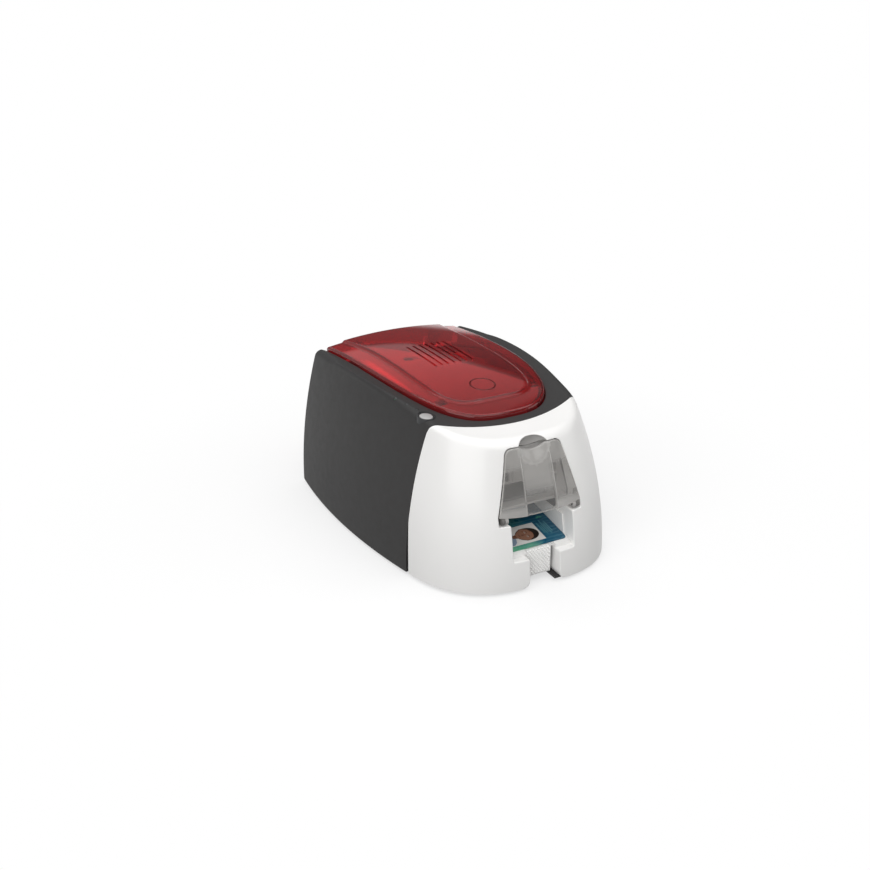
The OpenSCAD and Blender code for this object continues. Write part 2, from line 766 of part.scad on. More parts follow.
module plateau_outline() {
    start_y = 60;
    function side(i) = let (s = i / 6)
        [plateau_half + plateau_flare * pow(1 - s, 2), rear_y + (start_y - rear_y) * s];
    function tip(i) = let (a = 90 * i / plateau_n)
        [plateau_half * pow(max(cos(a), 0), 2 / plateau_power),
         start_y - (start_y - plateau_front_y) * pow(sin(a), 2 / plateau_power)];
    half = [for (i = [0 : 5]) side(i), for (i = [0 : plateau_n]) tip(i)];
    polygon(concat(half, [for (i = [len(half) - 2 : -1 : 0]) [-half[i].x, half[i].y]]));
}
lid_hinge = [rear_y - 6, shoulder_h - 18.5];
hinge_eye_r = 5;
rear_skirt_z = shoulder_h - 22;
notch = [frame_in - 2, frame_in + frame_t + 7.5, shoulder_h - 13];
ring_at = [0, -35];
ring_r = 11;
vent_y = 42;
vent_w = 1.8;
ring_w = 1;
ring_deep = 0.6;
module lid_shell() {
    color("#b01c22", 0.65) one_mesh() difference() {
        union() {
            difference() {
                intersection() {
                    linear_extrude(2 * shoulder_h) lid_outline(0);
                    under_lid(0, lid_floor);
                    above_skirt();
                }
                intersection() {
                    linear_extrude(2 * shoulder_h) lid_outline(-lid_t);
                    under_lid(-lid_t, lid_floor - 10);
                    block([-body_w, front_y, 0], [body_w, rear_y - lid_t, 2 * shoulder_h]);
                }
            }
            intersection() {
                linear_extrude(2 * shoulder_h) plateau_outline();
                difference() {
                    under_lid(step_h, lid_floor + 10);
                    under_lid(-over, lid_floor);
                }
            }
            block([-lid_w / 2 + 2, rear_y - lid_t, rear_skirt_z],
                  [lid_w / 2 - 2, rear_y, edge_z(rear_y)]);
        }
        both_sides()
            block([notch[0], rear_y - 8, lid_floor], [notch[1], rear_y + over, notch[2]]);
        for (i = [0 : vent_count - 1])
            translate([(i - (vent_count - 1) / 2) * vent_pitch, vent_y, lid_floor])
                linear_extrude(shoulder_h) square([vent_w, vent_len], center = true);
        intersection() {
            translate([ring_at.x, ring_at.y, lid_floor]) linear_extrude(shoulder_h) difference() {
                circle(ring_r);
                circle(ring_r - ring_w);
            }
            difference() {
                under_lid(step_h + over, lid_floor);
                under_lid(step_h - ring_deep, lid_floor - 10);
            }
        }
    }
}
ear_lid_in = frame_in + frame_t + clear;
ear_lid_t = 5;
module lid_hinge_ears() {
    top_y = rear_y - 15.5;
    top_z_here = lid_top(ear_lid_in + ear_lid_t, top_y) - lid_t - 1.1;
    color(lamp_black) both_sides() difference() {
        along_x(ear_lid_in, ear_lid_in + ear_lid_t) union() {
            translate(lid_hinge) circle(hinge_eye_r);
            polygon([
                [lid_hinge.x + 2.5, lid_hinge.y],
                [lid_hinge.x + 2.5, top_z_here - 0.6],
                [top_y - 8, top_z_here + 0.4],
                [lid_hinge.x - hinge_eye_r, lid_hinge.y]
            ]);
        }
        rod(ear_lid_in - over, ear_lid_in + ear_lid_t + over, hinge_pin_r + run,
            lid_hinge.x, lid_hinge.y);
    }
}
module hinge_pins() {
    color(steel) both_sides()
        rod(frame_in - 1, ear_lid_in + ear_lid_t + 1, hinge_pin_r, lid_hinge.x, lid_hinge.y);
}
catch_in = 10;
catch_at = [lid_edge(lid_tip_y + 35) - catch_in, lid_tip_y + 35];
module lid_catches() {
    high = lid_top(catch_at.x + 3, catch_at.y - 2) - lid_t - 0.3;
    color(lamp_black) both_sides() along_x(catch_at.x - 3, catch_at.x + 3) polygon([
        [catch_at.y - 2, high],
        [catch_at.y - 2, deck_z],
        [catch_at.y, deck_z - 1.5],
        [catch_at.y + 2, deck_z - 1.5],
        [catch_at.y + 2, high]
    ]);
}

// ---- print head ------------------------------------------------------------------------

head_half = 29;
head_z = 63.9;
head_y = [platen_y - 5, platen_y + 5];
sink_z = 67;
sink_top = 79;
carrier_z = 84;
head_float = 0.8;
// The carrier's liner lies under the lid's front and left, open over the ribbon rolls
liner_t = 1.5;
liner_gap = 0.5;
liner_in = 5;
liner_rear_y = rear_y - 27.5;
liner_line = [[-body_w, liner_rear_y], [-29, liner_rear_y], [-6, rear_y - 50.5],
    [9, rear_y - 68], [15, 39], [32, -2], [44, -23], [52, -46], [60, front_y], [-body_w, front_y]];
liner_hole = [-26.5, 50];
module liner() {
    intersection() {
        linear_extrude(2 * shoulder_h) difference() {
            intersection() {
                lid_outline(-liner_in);
                polygon(liner_line);
            }
            for (s = [-1, 1]) translate([s * catch_at.x, catch_at.y]) square(9, center = true);
            hull() {
                translate(liner_hole) circle(5);
                translate(liner_hole + [8, -4.5]) circle(0.8);
            }
        }
        difference() {
            under_lid(-lid_t - liner_gap, lid_floor + 10);
            under_lid(-lid_t - liner_gap - liner_t, lid_floor);
        }
    }
}
module head_carrier() {
    high = lid_top(31, head_y[0] - 2) - lid_t - 0.5;
    color(pale_grey) one_mesh() {
        liner();
        block([-31, head_y[0] - 2, carrier_z], [31, head_y[1] + 2, carrier_z + 4]);
        both_sides() block([24, head_y[0] - 2, carrier_z + 4], [31, head_y[1] + 2, high]);
        block([-24, head_y[0] + 3, carrier_z + 4], [24, head_y[0] + 5, high - 12]);
    }
}
module print_head() {
    color("#d8d4cc") {
        block([-head_half, head_y[0], head_z + 1], [head_half, head_y[1], sink_z]);
        block([-head_half + 1, platen_y - 1.5, head_z], [head_half - 1, platen_y + 1.5, head_z + 1]);
    }
}
fin_count = 5;
module heat_sink() {
    color(steel) {
        block([-28, head_y[0], sink_z], [28, head_y[1], sink_z + 2]);
        for (i = [0 : fin_count - 1]) let (y = head_y[0] + i * 9 / (fin_count - 1))
            block([-28, y, sink_z + 2], [28, y + 1, sink_top]);
    }
}
module head_springs() {
    color(steel) both_sides() translate([18, platen_y, sink_top + head_float + 0.1])
        difference() {
            cylinder(h = carrier_z - sink_top - head_float - 0.1, r = 3);
            translate([0, 0, -over]) cylinder(h = 10, r = 2.2);
        }
}
module head_connector() {
    color(warm_white) difference() {
        block([8, head_y[1], 70], [26, head_y[1] + 3.5, 76]);
        block([9.5, head_y[1] + 1, 71.2], [24.5, head_y[1] + 3.5 + over, 74.8]);
    }
}

// ---- chassis ---------------------------------------------------------------------------

frame_front_y = -72;
frame_rear_y = rear_y - rear_panel_t - seat;
frame_high_y = -46;
deck_z = shoulder_h - 29;
frame_low_z = deck_z - 28;
deck_t = 2;
bush_r = 5;
pinch_journal_r = 2;
pinch_z = path_z + card_t + pinch_r;
pinch_at = [[front_roller_y, pinch_z], [rear_roller_y, pinch_z]];
cleaning_at = [-7, path_z - pinch_r];
supply_at = [50, 88];
takeup_at = [-14, 86];
journal_r = 4;
slot_r = journal_r + run;
idler_teeth = 16;
roller_teeth = 24;
pinion_teeth = 12;
function pitch_r(teeth) = gear_module * teeth / 2;
stud_r = 1.5;
roller_ys = [pick_y, front_roller_y, platen_y, rear_roller_y];
idler_ys = [for (i = [0 : 2]) (roller_ys[i] + roller_ys[i + 1]) / 2];
// The drive idler hangs below and behind the rear roller, and the motor beyond it
drive_angle = -45;
drive_at = [
    rear_roller_y + (pitch_r(roller_teeth) + pitch_r(idler_teeth)) * cos(drive_angle),
    roller_z + (pitch_r(roller_teeth) + pitch_r(idler_teeth)) * sin(drive_angle)
];
motor_angle = -22;
motor_at = [
    drive_at.x + (pitch_r(idler_teeth) + pitch_r(pinion_teeth)) * cos(motor_angle),
    drive_at.y + (pitch_r(idler_teeth) + pitch_r(pinion_teeth)) * sin(motor_angle)
];
ribbon_angle = 156;
ribbon_motor_at = [
    takeup_at.x + (pitch_r(roller_teeth) + pitch_r(pinion_teeth)) * cos(ribbon_angle),
    takeup_at.y + (pitch_r(roller_teeth) + pitch_r(pinion_teeth)) * sin(ribbon_angle)
];
motor_shaft_r = 2.5;
spacer_at = [[-44, deck_z - 23], [-43, deck_z - 7]];

module frame_profile() {
    polygon([
        [frame_front_y, base_top],
        [frame_rear_y, base_top],
        [frame_rear_y, lid_hinge.y - 4],
        [lid_hinge.x - hinge_eye_r, lid_hinge.y],
        [lid_hinge.x - hinge_eye_r, deck_z],
        [frame_high_y, deck_z],
        [frame_high_y, frame_low_z],
        [frame_front_y, frame_low_z]
    ]);
    translate(lid_hinge) circle(hinge_eye_r);
}
module frame_bores() {
    x0 = frame_in - over;
    x1 = frame_in + frame_t + over;
    for (y = roller_ys) rod(x0, x1, bush_r + run, y, roller_z);
    for (p = concat(pinch_at, [cleaning_at])) rod(x0, x1, pinch_journal_r + run, p.x, p.y);
    for (p = [supply_at, takeup_at]) {
        rod(x0, x1, slot_r, p.x, p.y);
        block([x0, p.x - slot_r, p.y], [x1, p.x + slot_r, deck_z + over]);
    }
    rod(x0, x1, hinge_pin_r + run, lid_hinge.x, lid_hinge.y);
    rod(x0, x1, gate_pin_r + run, gate_at.x, gate_at.y);
}
module side_frame() {
    difference() {
        union() {
            along_x(frame_in, frame_in + frame_t) frame_profile();
            block([frame_in + frame_t, frame_front_y, base_top],
                  [frame_in + frame_t + 9, frame_rear_y, base_top + flange_h]);
        }
        frame_bores();
        for (p = screw_at)
            translate([p.x, p.y, 0]) cylinder(h = 20, r = screw_r + run);
    }
}
module side_frame_right() {
    color(steel) side_frame();
}
module side_frame_left() {
    color(steel) difference() {
        mirror([1, 0, 0]) side_frame();
        x0 = -frame_in - frame_t - over;
        x1 = -frame_in + over;
        for (y = idler_ys) rod(x0, x1, stud_r + run, y, roller_z);
        rod(x0, x1, stud_r + run, drive_at.x, drive_at.y);
        rod(x0, x1, motor_shaft_r + clear, motor_at.x, motor_at.y);
    }
}
module roller_bushes() {
    color("#c9a24a") both_sides() for (y = roller_ys) difference() {
        rod(frame_in - 0.3, frame_in + frame_t, bush_r, y, roller_z);
        rod(frame_in - over, frame_in + frame_t + over, shaft_r + run, y, roller_z);
    }
}
deck_bay = [frame_in - 1, -28, 100];
module deck_cut(low, high) {
    block([low.x, low.y, deck_z - over], [high.x, high.y, deck_z + deck_t + over]);
}
module inner_deck() {
    slot_x = frame_in + frame_t + 8;
    color(pale_grey) difference() {
        translate([0, 0, deck_z]) linear_extrude(deck_t) intersection() {
            lid_outline(-0.5);
            translate([-body_w, lid_tip_y]) square([2 * body_w, rear_y - 21.5 - lid_tip_y]);
        }
        deck_cut([-deck_bay[0], deck_bay[1]], [deck_bay[0], deck_bay[2]]);
        for (p = [supply_at, takeup_at])
            deck_cut([-slot_x, p.x - slot_r - 1], [slot_x, p.x + slot_r + 1]);
        both_sides() deck_cut(catch_at - [4, 6], catch_at + [4, 5]);
    }
}

// ---- rollers and gears -----------------------------------------------------------------

gear_x = -frame_in - frame_t - 0.5;
addendum = 0.7;
dedendum = 1;
pressure_angle = 20;
module gear_profile(teeth, phase) {
    r = pitch_r(teeth);
    tip = r + addendum * gear_module;
    root = r - dedendum * gear_module;
    half = PI * gear_module / 4 - gear_play / 2;
    tip_half = half - addendum * gear_module * tan(pressure_angle);
    root_half = half + dedendum * gear_module * tan(pressure_angle);
    function at(radius, side, a) = let (b = a + asin(side / radius))
        [radius * cos(b), radius * sin(b)];
    polygon([for (i = [0 : teeth - 1]) let (a = phase + 360 * i / teeth) each [
        at(root, -root_half, a),
        at(tip, -tip_half, a),
        at(tip, tip_half, a),
        at(root, root_half, a)
    ]]);
}
// Phase of a gear that meshes with its driver, which lies in direction `way` before it
function next_phase(teeth, driver_teeth, driver_phase, way) =
    way + 180 + (180 + driver_teeth * (way - driver_phase)) / teeth;
module gear_at(teeth, phase, p) {
    along_x(gear_x - gear_w, gear_x) translate(p) gear_profile(teeth, phase);
}
pick_phase = 0;
pick_idler_phase = next_phase(idler_teeth, roller_teeth, pick_phase, 0);
front_phase = next_phase(roller_teeth, idler_teeth, pick_idler_phase, 0);
front_idler_phase = next_phase(idler_teeth, roller_teeth, front_phase, 0);
platen_phase = next_phase(roller_teeth, idler_teeth, front_idler_phase, 0);
rear_idler_phase = next_phase(idler_teeth, roller_teeth, platen_phase, 0);
rear_phase = next_phase(roller_teeth, idler_teeth, rear_idler_phase, 0);
drive_phase = next_phase(idler_teeth, roller_teeth, rear_phase, drive_angle);
motor_phase = next_phase(pinion_teeth, idler_teeth, drive_phase, motor_angle);
takeup_phase = 0;
ribbon_phase = next_phase(pinion_teeth, roller_teeth, takeup_phase, ribbon_angle);

module sleeve(y) {
    difference() {
        rod(-roller_half, roller_half, roller_r, y, roller_z);
        rod(-roller_half - over, roller_half + over, shaft_r, y, roller_z);
    }
}
module geared_shaft(y, phase) {
    rod(gear_x - gear_w - 0.5, frame_in + frame_t + 1, shaft_r, y, roller_z);
    gear_at(roller_teeth, phase, [y, roller_z]);
}
module pick_roller() { color(rubber) sleeve(pick_y); }
module pick_shaft() { color(steel) geared_shaft(pick_y, pick_phase); }
module front_roller() { color(rubber) sleeve(front_roller_y); }
module front_shaft() { color(steel) geared_shaft(front_roller_y, front_phase); }
module platen_roller() { color(rubber) sleeve(platen_y); }
module platen_shaft() { color(steel) geared_shaft(platen_y, platen_phase); }
module rear_roller() { color(rubber) sleeve(rear_roller_y); }
module rear_shaft() { color(steel) geared_shaft(rear_roller_y, rear_phase); }
module journal_roller(p) {
    rod(-roller_half, roller_half, pinch_r, p.x, p.y);
    rod(-frame_in - frame_t, frame_in + frame_t, pinch_journal_r, p.x, p.y);
}
module pinch_roller_front() { color(lamp_black) journal_roller(pinch_at[0]); }
module pinch_roller_rear() { color(lamp_black) journal_roller(pinch_at[1]); }
module cleaning_roller() { color("#7fb3c9") journal_roller(cleaning_at); }
module idler(phase, p) {
    difference() {
        gear_at(idler_teeth, phase, p);
        rod(gear_x - gear_w - over, gear_x + over, stud_r + run, p.x, p.y);
    }
}
module pick_idler_gear() { color(warm_white) idler(pick_idler_phase, [idler_ys[0], roller_z]); }
module front_idler_gear() { color(warm_white) idler(front_idler_phase, [idler_ys[1], roller_z]); }
module rear_idler_gear() { color(warm_white) idler(rear_idler_phase, [idler_ys[2], roller_z]); }
module drive_idler_gear() { color(warm_white) idler(drive_phase, drive_at); }
module idler_studs() {
    places = concat([for (y = idler_ys) [y, roller_z]], [drive_at]);
    color(steel) for (p = places) {
        rod(gear_x - gear_w - 0.2, -frame_in, stud_r, p.x, p.y);
        rod(gear_x - gear_w - 1, gear_x - gear_w - 0.2, stud_r + 1, p.x, p.y);
    }
}
feed_motor_len = 34;
feed_shaft_in = 19;
module feed_motor() {
    half = feed_motor_w / 2;
    color(lamp_black) difference() {
        along_x(-frame_in, -frame_in + feed_motor_len) translate(motor_at)
            difference() {
                square([2 * half, 2 * half], center = true);
                for (a = [45 : 90 : 315]) rotate(a) translate([half * sqrt(2) - 2, -5]) square([5, 10]);
            }
        rod(-frame_in - over, -frame_in + feed_shaft_in + over, motor_shaft_r + run,
            motor_at.x, motor_at.y);
    }
}
module motor_pinion() {
    color(steel) {
        gear_at(pinion_teeth, motor_phase, motor_at);
        rod(gear_x, -frame_in + feed_shaft_in, motor_shaft_r, motor_at.x, motor_at.y);
    }
}

// ---- ribbon ----------------------------------------------------------------------------

core_half = frame_in - 0.4;
module core(p) {
    rod(-core_half, core_half, core_r, p.x, p.y);
    rod(-frame_in - frame_t, frame_in + frame_t, journal_r, p.x, p.y);
}
module roll(r, p) {
    difference() {
        rod(-ribbon_w / 2, ribbon_w / 2, r, p.x, p.y);
        rod(-ribbon_w, ribbon_w, core_r, p.x, p.y);
    }
}
module supply_core() { color(warm_white) core(supply_at); }
module supply_ribbon() { color("#3b2a58") roll(supply_r, supply_at); }
module takeup_core() {
    color(warm_white) {
        core(takeup_at);
        rod(gear_x - gear_w, -frame_in, journal_r, takeup_at.x, takeup_at.y);
        gear_at(roller_teeth, takeup_phase, takeup_at);
    }
}
module takeup_ribbon() { color("#3b2a58") roll(takeup_r, takeup_at); }
film_t = 0.2;
film_low = head_z - 0.4;
module ribbon_film() {
    way = [
        [takeup_at.x, takeup_at.y - takeup_r - seat / 2],
        [head_y[0] - 1, film_low + film_t],
        [head_y[1] + 1, film_low + film_t],
        [supply_at.x, supply_at.y - supply_r - seat / 2]
    ];
    color("#3b2a58") along_x(-ribbon_w / 2, ribbon_w / 2)
        polygon(concat(way, [for (i = [3 : -1 : 0]) way[i] - [0, film_t]]));
}
bracket_x = gear_x - gear_w - 1;
bracket_t = 1.5;
// The ribbon motor ends side_room inside the foot of the side wall
side_room = 28.5;
ribbon_motor_len = body_w / 2 + bracket_x - bracket_t - side_room;
ribbon_shaft_in = ribbon_motor_len / 2;
ribbon_shaft_r = 1.5;
module ribbon_motor_bracket() {
    color(steel) difference() {
        union() {
            along_x(bracket_x - bracket_t, bracket_x) hull() {
                for (p = concat(spacer_at, [ribbon_motor_at])) translate(p) circle(5);
            }
            for (p = spacer_at) rod(bracket_x, -frame_in - frame_t, 2.5, p.x, p.y);
        }
        rod(bracket_x - 5, bracket_x + over, ribbon_shaft_r + clear,
            ribbon_motor_at.x, ribbon_motor_at.y);
    }
}
module ribbon_motor() {
    x1 = bracket_x - bracket_t;
    color(lamp_black) difference() {
        rod(x1 - ribbon_motor_len, x1, ribbon_motor_r, ribbon_motor_at.x, ribbon_motor_at.y);
        rod(x1 - ribbon_shaft_in - over, x1 + over, ribbon_shaft_r + run,
            ribbon_motor_at.x, ribbon_motor_at.y);
    }
}
module ribbon_pinion() {
    color(steel) {
        gear_at(pinion_teeth, ribbon_phase, ribbon_motor_at);
        rod(bracket_x - bracket_t - ribbon_shaft_in, gear_x, ribbon_shaft_r,
            ribbon_motor_at.x, ribbon_motor_at.y);
    }
}

// ---- electronics and controls ----------------------------------------------------------

board_low = [3 - frame_in, rear_y - 67.5];
board_high = [frame_in - 3, rear_y - 4.5];
module main_board() {
    color("#1f5a35") {
        block([board_low.x, board_low.y, board_z], [board_high.x, board_high.y, board_z + board_t]);
        for (x = [board_low.x + 4, board_high.x - 4])
            for (y = [board_low.y + 4, board_high.y - 8])
                translate([x, y, base_top]) cylinder(h = board_z - base_top, r = 3);
    }
}
module board_chips() {
    top = board_z + board_t;
    color(lamp_black) {
        block([board_low.x + 11, board_low.y + 34, top],
              [board_low.x + 27, board_low.y + 50, top + 1.6]);
        block([4, board_low.y + 36, top], [12, board_low.y + 48, top + 1.4]);
        both_sides() translate([3, board_high.y - 5, top]) cylinder(h = 10, r = 2.5);
    }
}
module usb_socket() {
    color(steel) difference() {
        block([usb_at.x - socket_half.x, rear_y - 14, board_z + board_t],
              [usb_at.x + socket_half.x, rear_y - 0.3, usb_at.y + socket_half.y]);
        difference() {
            block([usb_at.x - 4.2, rear_y - 10, usb_at.y - 3.9],
                  [usb_at.x + 4.2, rear_y, usb_at.y + 3.9]);
            block([usb_at.x - 2.8, rear_y - 11, usb_at.y - 1.6],
                  [usb_at.x + 2.8, rear_y - 1, usb_at.y + 1.6]);
        }
    }
}
module power_socket() {
    color(lamp_black) difference() {
        block([power_at.x - socket_half.x, rear_y - 14, board_z + board_t],
              [power_at.x + socket_half.x, rear_y - 0.3, power_at.y + socket_half.y]);
        difference() {
            translate([power_at.x, rear_y, power_at.y]) rotate([90, 0, 0]) cylinder(h = 11, r = jack_r);
            translate([power_at.x, rear_y - 1, power_at.y]) rotate([90, 0, 0]) cylinder(h = 11, r = 1);
        }
    }
}
button_top = shoulder_h - 6;
button_len = 8;
module power_button() {
    color("#bebcba") translate([button_at.x, button_at.y, button_top - button_len])
        cylinder(h = button_len, r = button_r);
}
module button_guide() {
    color(steel) translate([button_at.x, button_at.y, board_top]) difference() {
        cylinder(h = button_top - 0.8 - board_top, r = guide_r);
        translate([0, 0, -over]) cylinder(h = 20, r = button_r + run);
    }
}
module button_board() {
    color("#1f5a35") {
        translate([0, 0, board_top - board_t]) linear_extrude(board_t)
            polygon([button_at + [-2, -8], light_at[2] + [-2.5, 6],
                     light_at[2] + [13, 6], button_at + [7.5, -8]]);
        translate([button_at.x, button_at.y, board_top])
            cylinder(h = button_top - button_len - button_travel - 0.1 - board_top, r = 2.5);
        for (p = light_at) translate([p.x, p.y, board_top])
            cylinder(h = top_z(p.y) - 0.8 - board_top, r = light_r);
    }
}

main_housing();
front_bezel();
rear_panel();
base_tray();
rubber_feet();
base_screws();
hopper_tray();
grip_panel();
feeder_housing();
feeder_cover();
feeder_cover_ears();
card_pusher();
printed_card();
card_gate();
lid_shell();
lid_hinge_ears();
lid_catches();
hinge_pins();
head_carrier();
print_head();
heat_sink();
head_springs();
head_connector();
inner_deck();
side_frame_left();
side_frame_right();
roller_bushes();
pick_roller();
pick_shaft();
front_roller();
front_shaft();
platen_roller();
platen_shaft();
rear_roller();
rear_shaft();
pinch_roller_front();
pinch_roller_rear();
cleaning_roller();
pick_idler_gear();
front_idler_gear();
rear_idler_gear();
drive_idler_gear();
idler_studs();
feed_motor();
motor_pinion();
supply_core();
supply_ribbon();
takeup_core();
takeup_ribbon();
ribbon_film();
ribbon_motor();
ribbon_motor_bracket();
ribbon_pinion();
main_board();
board_chips();
usb_socket();
power_socket();
power_button();
button_guide();
button_board();
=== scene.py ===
import json
import math

import bmesh
import bpy
import numpy as np
from mathutils import Matrix, Vector
from mathutils.bvhtree import BVHTree
from mathutils.geometry import delaunay_2d_cdt


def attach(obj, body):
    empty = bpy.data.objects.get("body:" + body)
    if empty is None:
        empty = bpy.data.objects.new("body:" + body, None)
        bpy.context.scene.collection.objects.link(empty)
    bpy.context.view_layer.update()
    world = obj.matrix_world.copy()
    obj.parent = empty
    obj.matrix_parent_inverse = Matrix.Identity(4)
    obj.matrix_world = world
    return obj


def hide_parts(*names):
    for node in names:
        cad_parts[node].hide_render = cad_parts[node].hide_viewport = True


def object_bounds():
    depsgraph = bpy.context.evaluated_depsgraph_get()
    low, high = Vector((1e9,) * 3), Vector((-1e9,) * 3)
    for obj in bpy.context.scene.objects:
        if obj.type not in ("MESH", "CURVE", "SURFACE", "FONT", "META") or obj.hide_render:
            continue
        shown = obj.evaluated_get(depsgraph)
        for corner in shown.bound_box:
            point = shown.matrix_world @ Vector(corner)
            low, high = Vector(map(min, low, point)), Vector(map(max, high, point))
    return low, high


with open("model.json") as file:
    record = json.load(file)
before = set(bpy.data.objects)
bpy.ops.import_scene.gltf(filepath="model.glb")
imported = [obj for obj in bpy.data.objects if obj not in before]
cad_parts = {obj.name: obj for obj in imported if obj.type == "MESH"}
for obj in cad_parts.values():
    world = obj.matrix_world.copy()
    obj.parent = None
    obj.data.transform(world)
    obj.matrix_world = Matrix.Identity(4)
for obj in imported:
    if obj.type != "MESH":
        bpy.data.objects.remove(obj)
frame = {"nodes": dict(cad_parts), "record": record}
cad_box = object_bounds()
nodes = frame["nodes"]

# ---- camera ----

AZ, EL, DIST = math.radians(28.7), math.radians(23.2), 1.0409
AIM = Vector((0, 0, 0.081))
back = Vector((-math.sin(AZ) * math.cos(EL), -math.cos(AZ) * math.cos(EL), math.sin(EL)))
cam = bpy.data.objects.new("camera", bpy.data.cameras.new("camera"))
bpy.context.scene.collection.objects.link(cam)
cam.location = AIM + back * DIST
cam.rotation_mode = "QUATERNION"
cam.rotation_quaternion = (-back).to_track_quat("-Z", "Y")
cam.data.sensor_width = 36
cam.data.lens = 49.225
cam.data.shift_x, cam.data.shift_y = -0.03134, -0.00092
cam.data.clip_start, cam.data.clip_end = 0.05, 50
bpy.context.scene.camera = cam
bpy.context.scene.view_settings.view_transform = "Standard"

# ---- body form, in millimetres ----

BODY_LEN, BODY_W, SHOULDER_H, WALL, FOOT_H = 279, 205, 137, 2.5, 2.5
SIDE_LEAN, FRONT_LEAN, NOSE_LEN = 20.5, 30, 67.5
SHOULDER_R, NOSE_R, COLLAR = 7, 13, 7
SEAM_Y, SEAM_GAP, SEAM_HALF, SEAM_BOW = -69, 0.4, 70, 20
REAR_Y, FRONT_Y = BODY_LEN / 2, -BODY_LEN / 2
NOSE_Y = FRONT_Y + NOSE_LEN
LEAN_H, LEAN_A = 128, math.radians(20)
WIDEST_Y, NARROWING = 54, 8.1
CREST_Y, REAR_DROP, FRONT_DROP, EDGE_DROP = 20, 8, 22, 2
ROUND_Z = 113.6
LID_W, LID_TIP, LID_GAP, LID_T, LID_ROUND = 134, -79, 0.7, 2.4, 84.99
RIM_H, SKIRT_H, CROWN, STEP_H = 3.5, 4, 5.5, 1.8
COVER_FOOT, COVER_TOP, COVER_LOW, COVER_HIGH = 37.5, 24.4, 65.6, 115.5
# Places along the outlines: the foot's nose starts at NOSE_T, the lid's bend at BEND_T
NOSE_T, BEND_T, TIP_T = 12, 3, 24
# Power of the sine and cosine in an outline that is fuller than an ellipse
FULL = 2 / 3


def half_w(y):
    """Half the foot's width at y."""
    return BODY_W / 2 - NARROWING * ((y - WIDEST_Y) / 100) ** 2


def top_z(y):
    """Height of the shoulder, which falls from its crest to the rear and to the front."""
    rear = REAR_DROP * ((y - CREST_Y) / (REAR_Y - CREST_Y)) ** 2
    front = FRONT_DROP * ((CREST_Y - y) / (CREST_Y - FRONT_Y)) ** 2
    return SHOULDER_H - np.where(y > CREST_Y, rear, front)


def edge_z(y):
    """Height of the shell at the lid's opening."""
    return top_z(y) - EDGE_DROP


def lean(z):
    return ((z - FOOT_H) / LEAN_H) ** 2


def up_wall(x, y, z):
    """Where the foot's point (x, y) has moved to at height z."""
    return (
        x * (1 - 2 * SIDE_LEAN / BODY_W * lean(z)),
        REAR_Y - (REAR_Y - y) * (1 - FRONT_LEAN / BODY_LEN * lean(z)),
    )


def foot(t):
    """A point of the foot's outline and its share of the nose, t from 0 at the rear to TIP_T."""
    if t < NOSE_T:
        y = REAR_Y + (NOSE_Y - REAR_Y) * t / NOSE_T
        return half_w(y), y, 0.0
    a = math.radians(90 * (t - NOSE_T) / (TIP_T - NOSE_T))
    y = NOSE_Y - NOSE_LEN * math.sin(a) ** FULL
    return half_w(y) * max(math.cos(a), 0) ** FULL, y, math.sin(a) ** 2


def lid_point(t, grow):
    """A point of the lid's outline grown by grow, t from 0 at the rear to TIP_T."""
    if t < BEND_T:
        return LID_W / 2 + grow, REAR_Y + (LID_ROUND - REAR_Y) * t / BEND_T
    a = math.radians(90 * ((t - BEND_T) / (TIP_T - BEND_T)) ** 0.8)
    return (
        (LID_W / 2 + grow) * max(math.cos(a), 0) ** FULL,
        LID_ROUND - (LID_ROUND - LID_TIP + grow) * math.sin(a) ** FULL,
    )


def columns(t, wall_n=26, edge_n=10, top_n=8, lip=0.8, lip_n=4):
    """Outer and inner points of the shell over place t of its outline."""
    fx, fy, share = foot(t)
    ex, ey = lid_point(t, LID_GAP)
    r = SHOULDER_R + (NOSE_R - SHOULDER_R) * share
    crown = float(top_z(up_wall(fx, fy, LEAN_H)[1]))
    start_z = crown - r * (1 - math.sin(LEAN_A))
    sx, sy = up_wall(fx, fy, start_z)
    length = math.hypot(ex - sx, ey - sy)
    ux, uy = (ex - sx) / length, (ey - sy) / length
    top_edge = float(edge_z(ey))
    outer, inner = [], []
    for k in range(wall_n + 1):
        z = FOOT_H + (start_z - FOOT_H) * k / wall_n
        outer.append((*up_wall(fx, fy, z), z))
        z = FOOT_H + (start_z - WALL * math.sin(LEAN_A) - FOOT_H) * k / wall_n
        x, y = up_wall(fx, fy, z)
        ahead = up_wall(fx, fy, z + 0.5)
        d = WALL * math.hypot(1, math.dist((x, y), ahead) / 0.5)
        inner.append((x + ux * d, y + uy * d, z))
    for k in range(1, edge_n + 1):
        a = LEAN_A + (math.pi / 2 - LEAN_A) * k / edge_n
        for radius, out in ((r, outer), (r - WALL, inner)):
            d = r * math.cos(LEAN_A) - radius * math.cos(a)
            out.append((sx + ux * d, sy + uy * d, crown - r + radius * math.sin(a)))
    turn = r * math.cos(LEAN_A)
    rx, ry = sx + ux * turn, sy + uy * turn
    flat = length - turn
    for k in range(1, top_n + 1):
        s = k / top_n
        d = (flat - lip) * s
        z = crown + (top_edge - crown) * d / flat
        outer.append((rx + ux * d, ry + uy * d, z))
        d = (flat - WALL) * s
        z = crown + (top_edge - crown) * d / flat
        inner.append((rx + ux * d, ry + uy * d, z - WALL))
    for k in range(1, lip_n + 1):
        a = math.pi / 2 * k / lip_n
        d = flat - lip + lip * math.sin(a)
        outer.append((rx + ux * d, ry + uy * d, top_edge - lip * (1 - math.cos(a))))
    outer.append((ex, ey, top_edge - COLLAR))
    inner.append((rx + ux * (flat - WALL), ry + uy * (flat - WALL), top_edge - COLLAR))
    return outer, inner


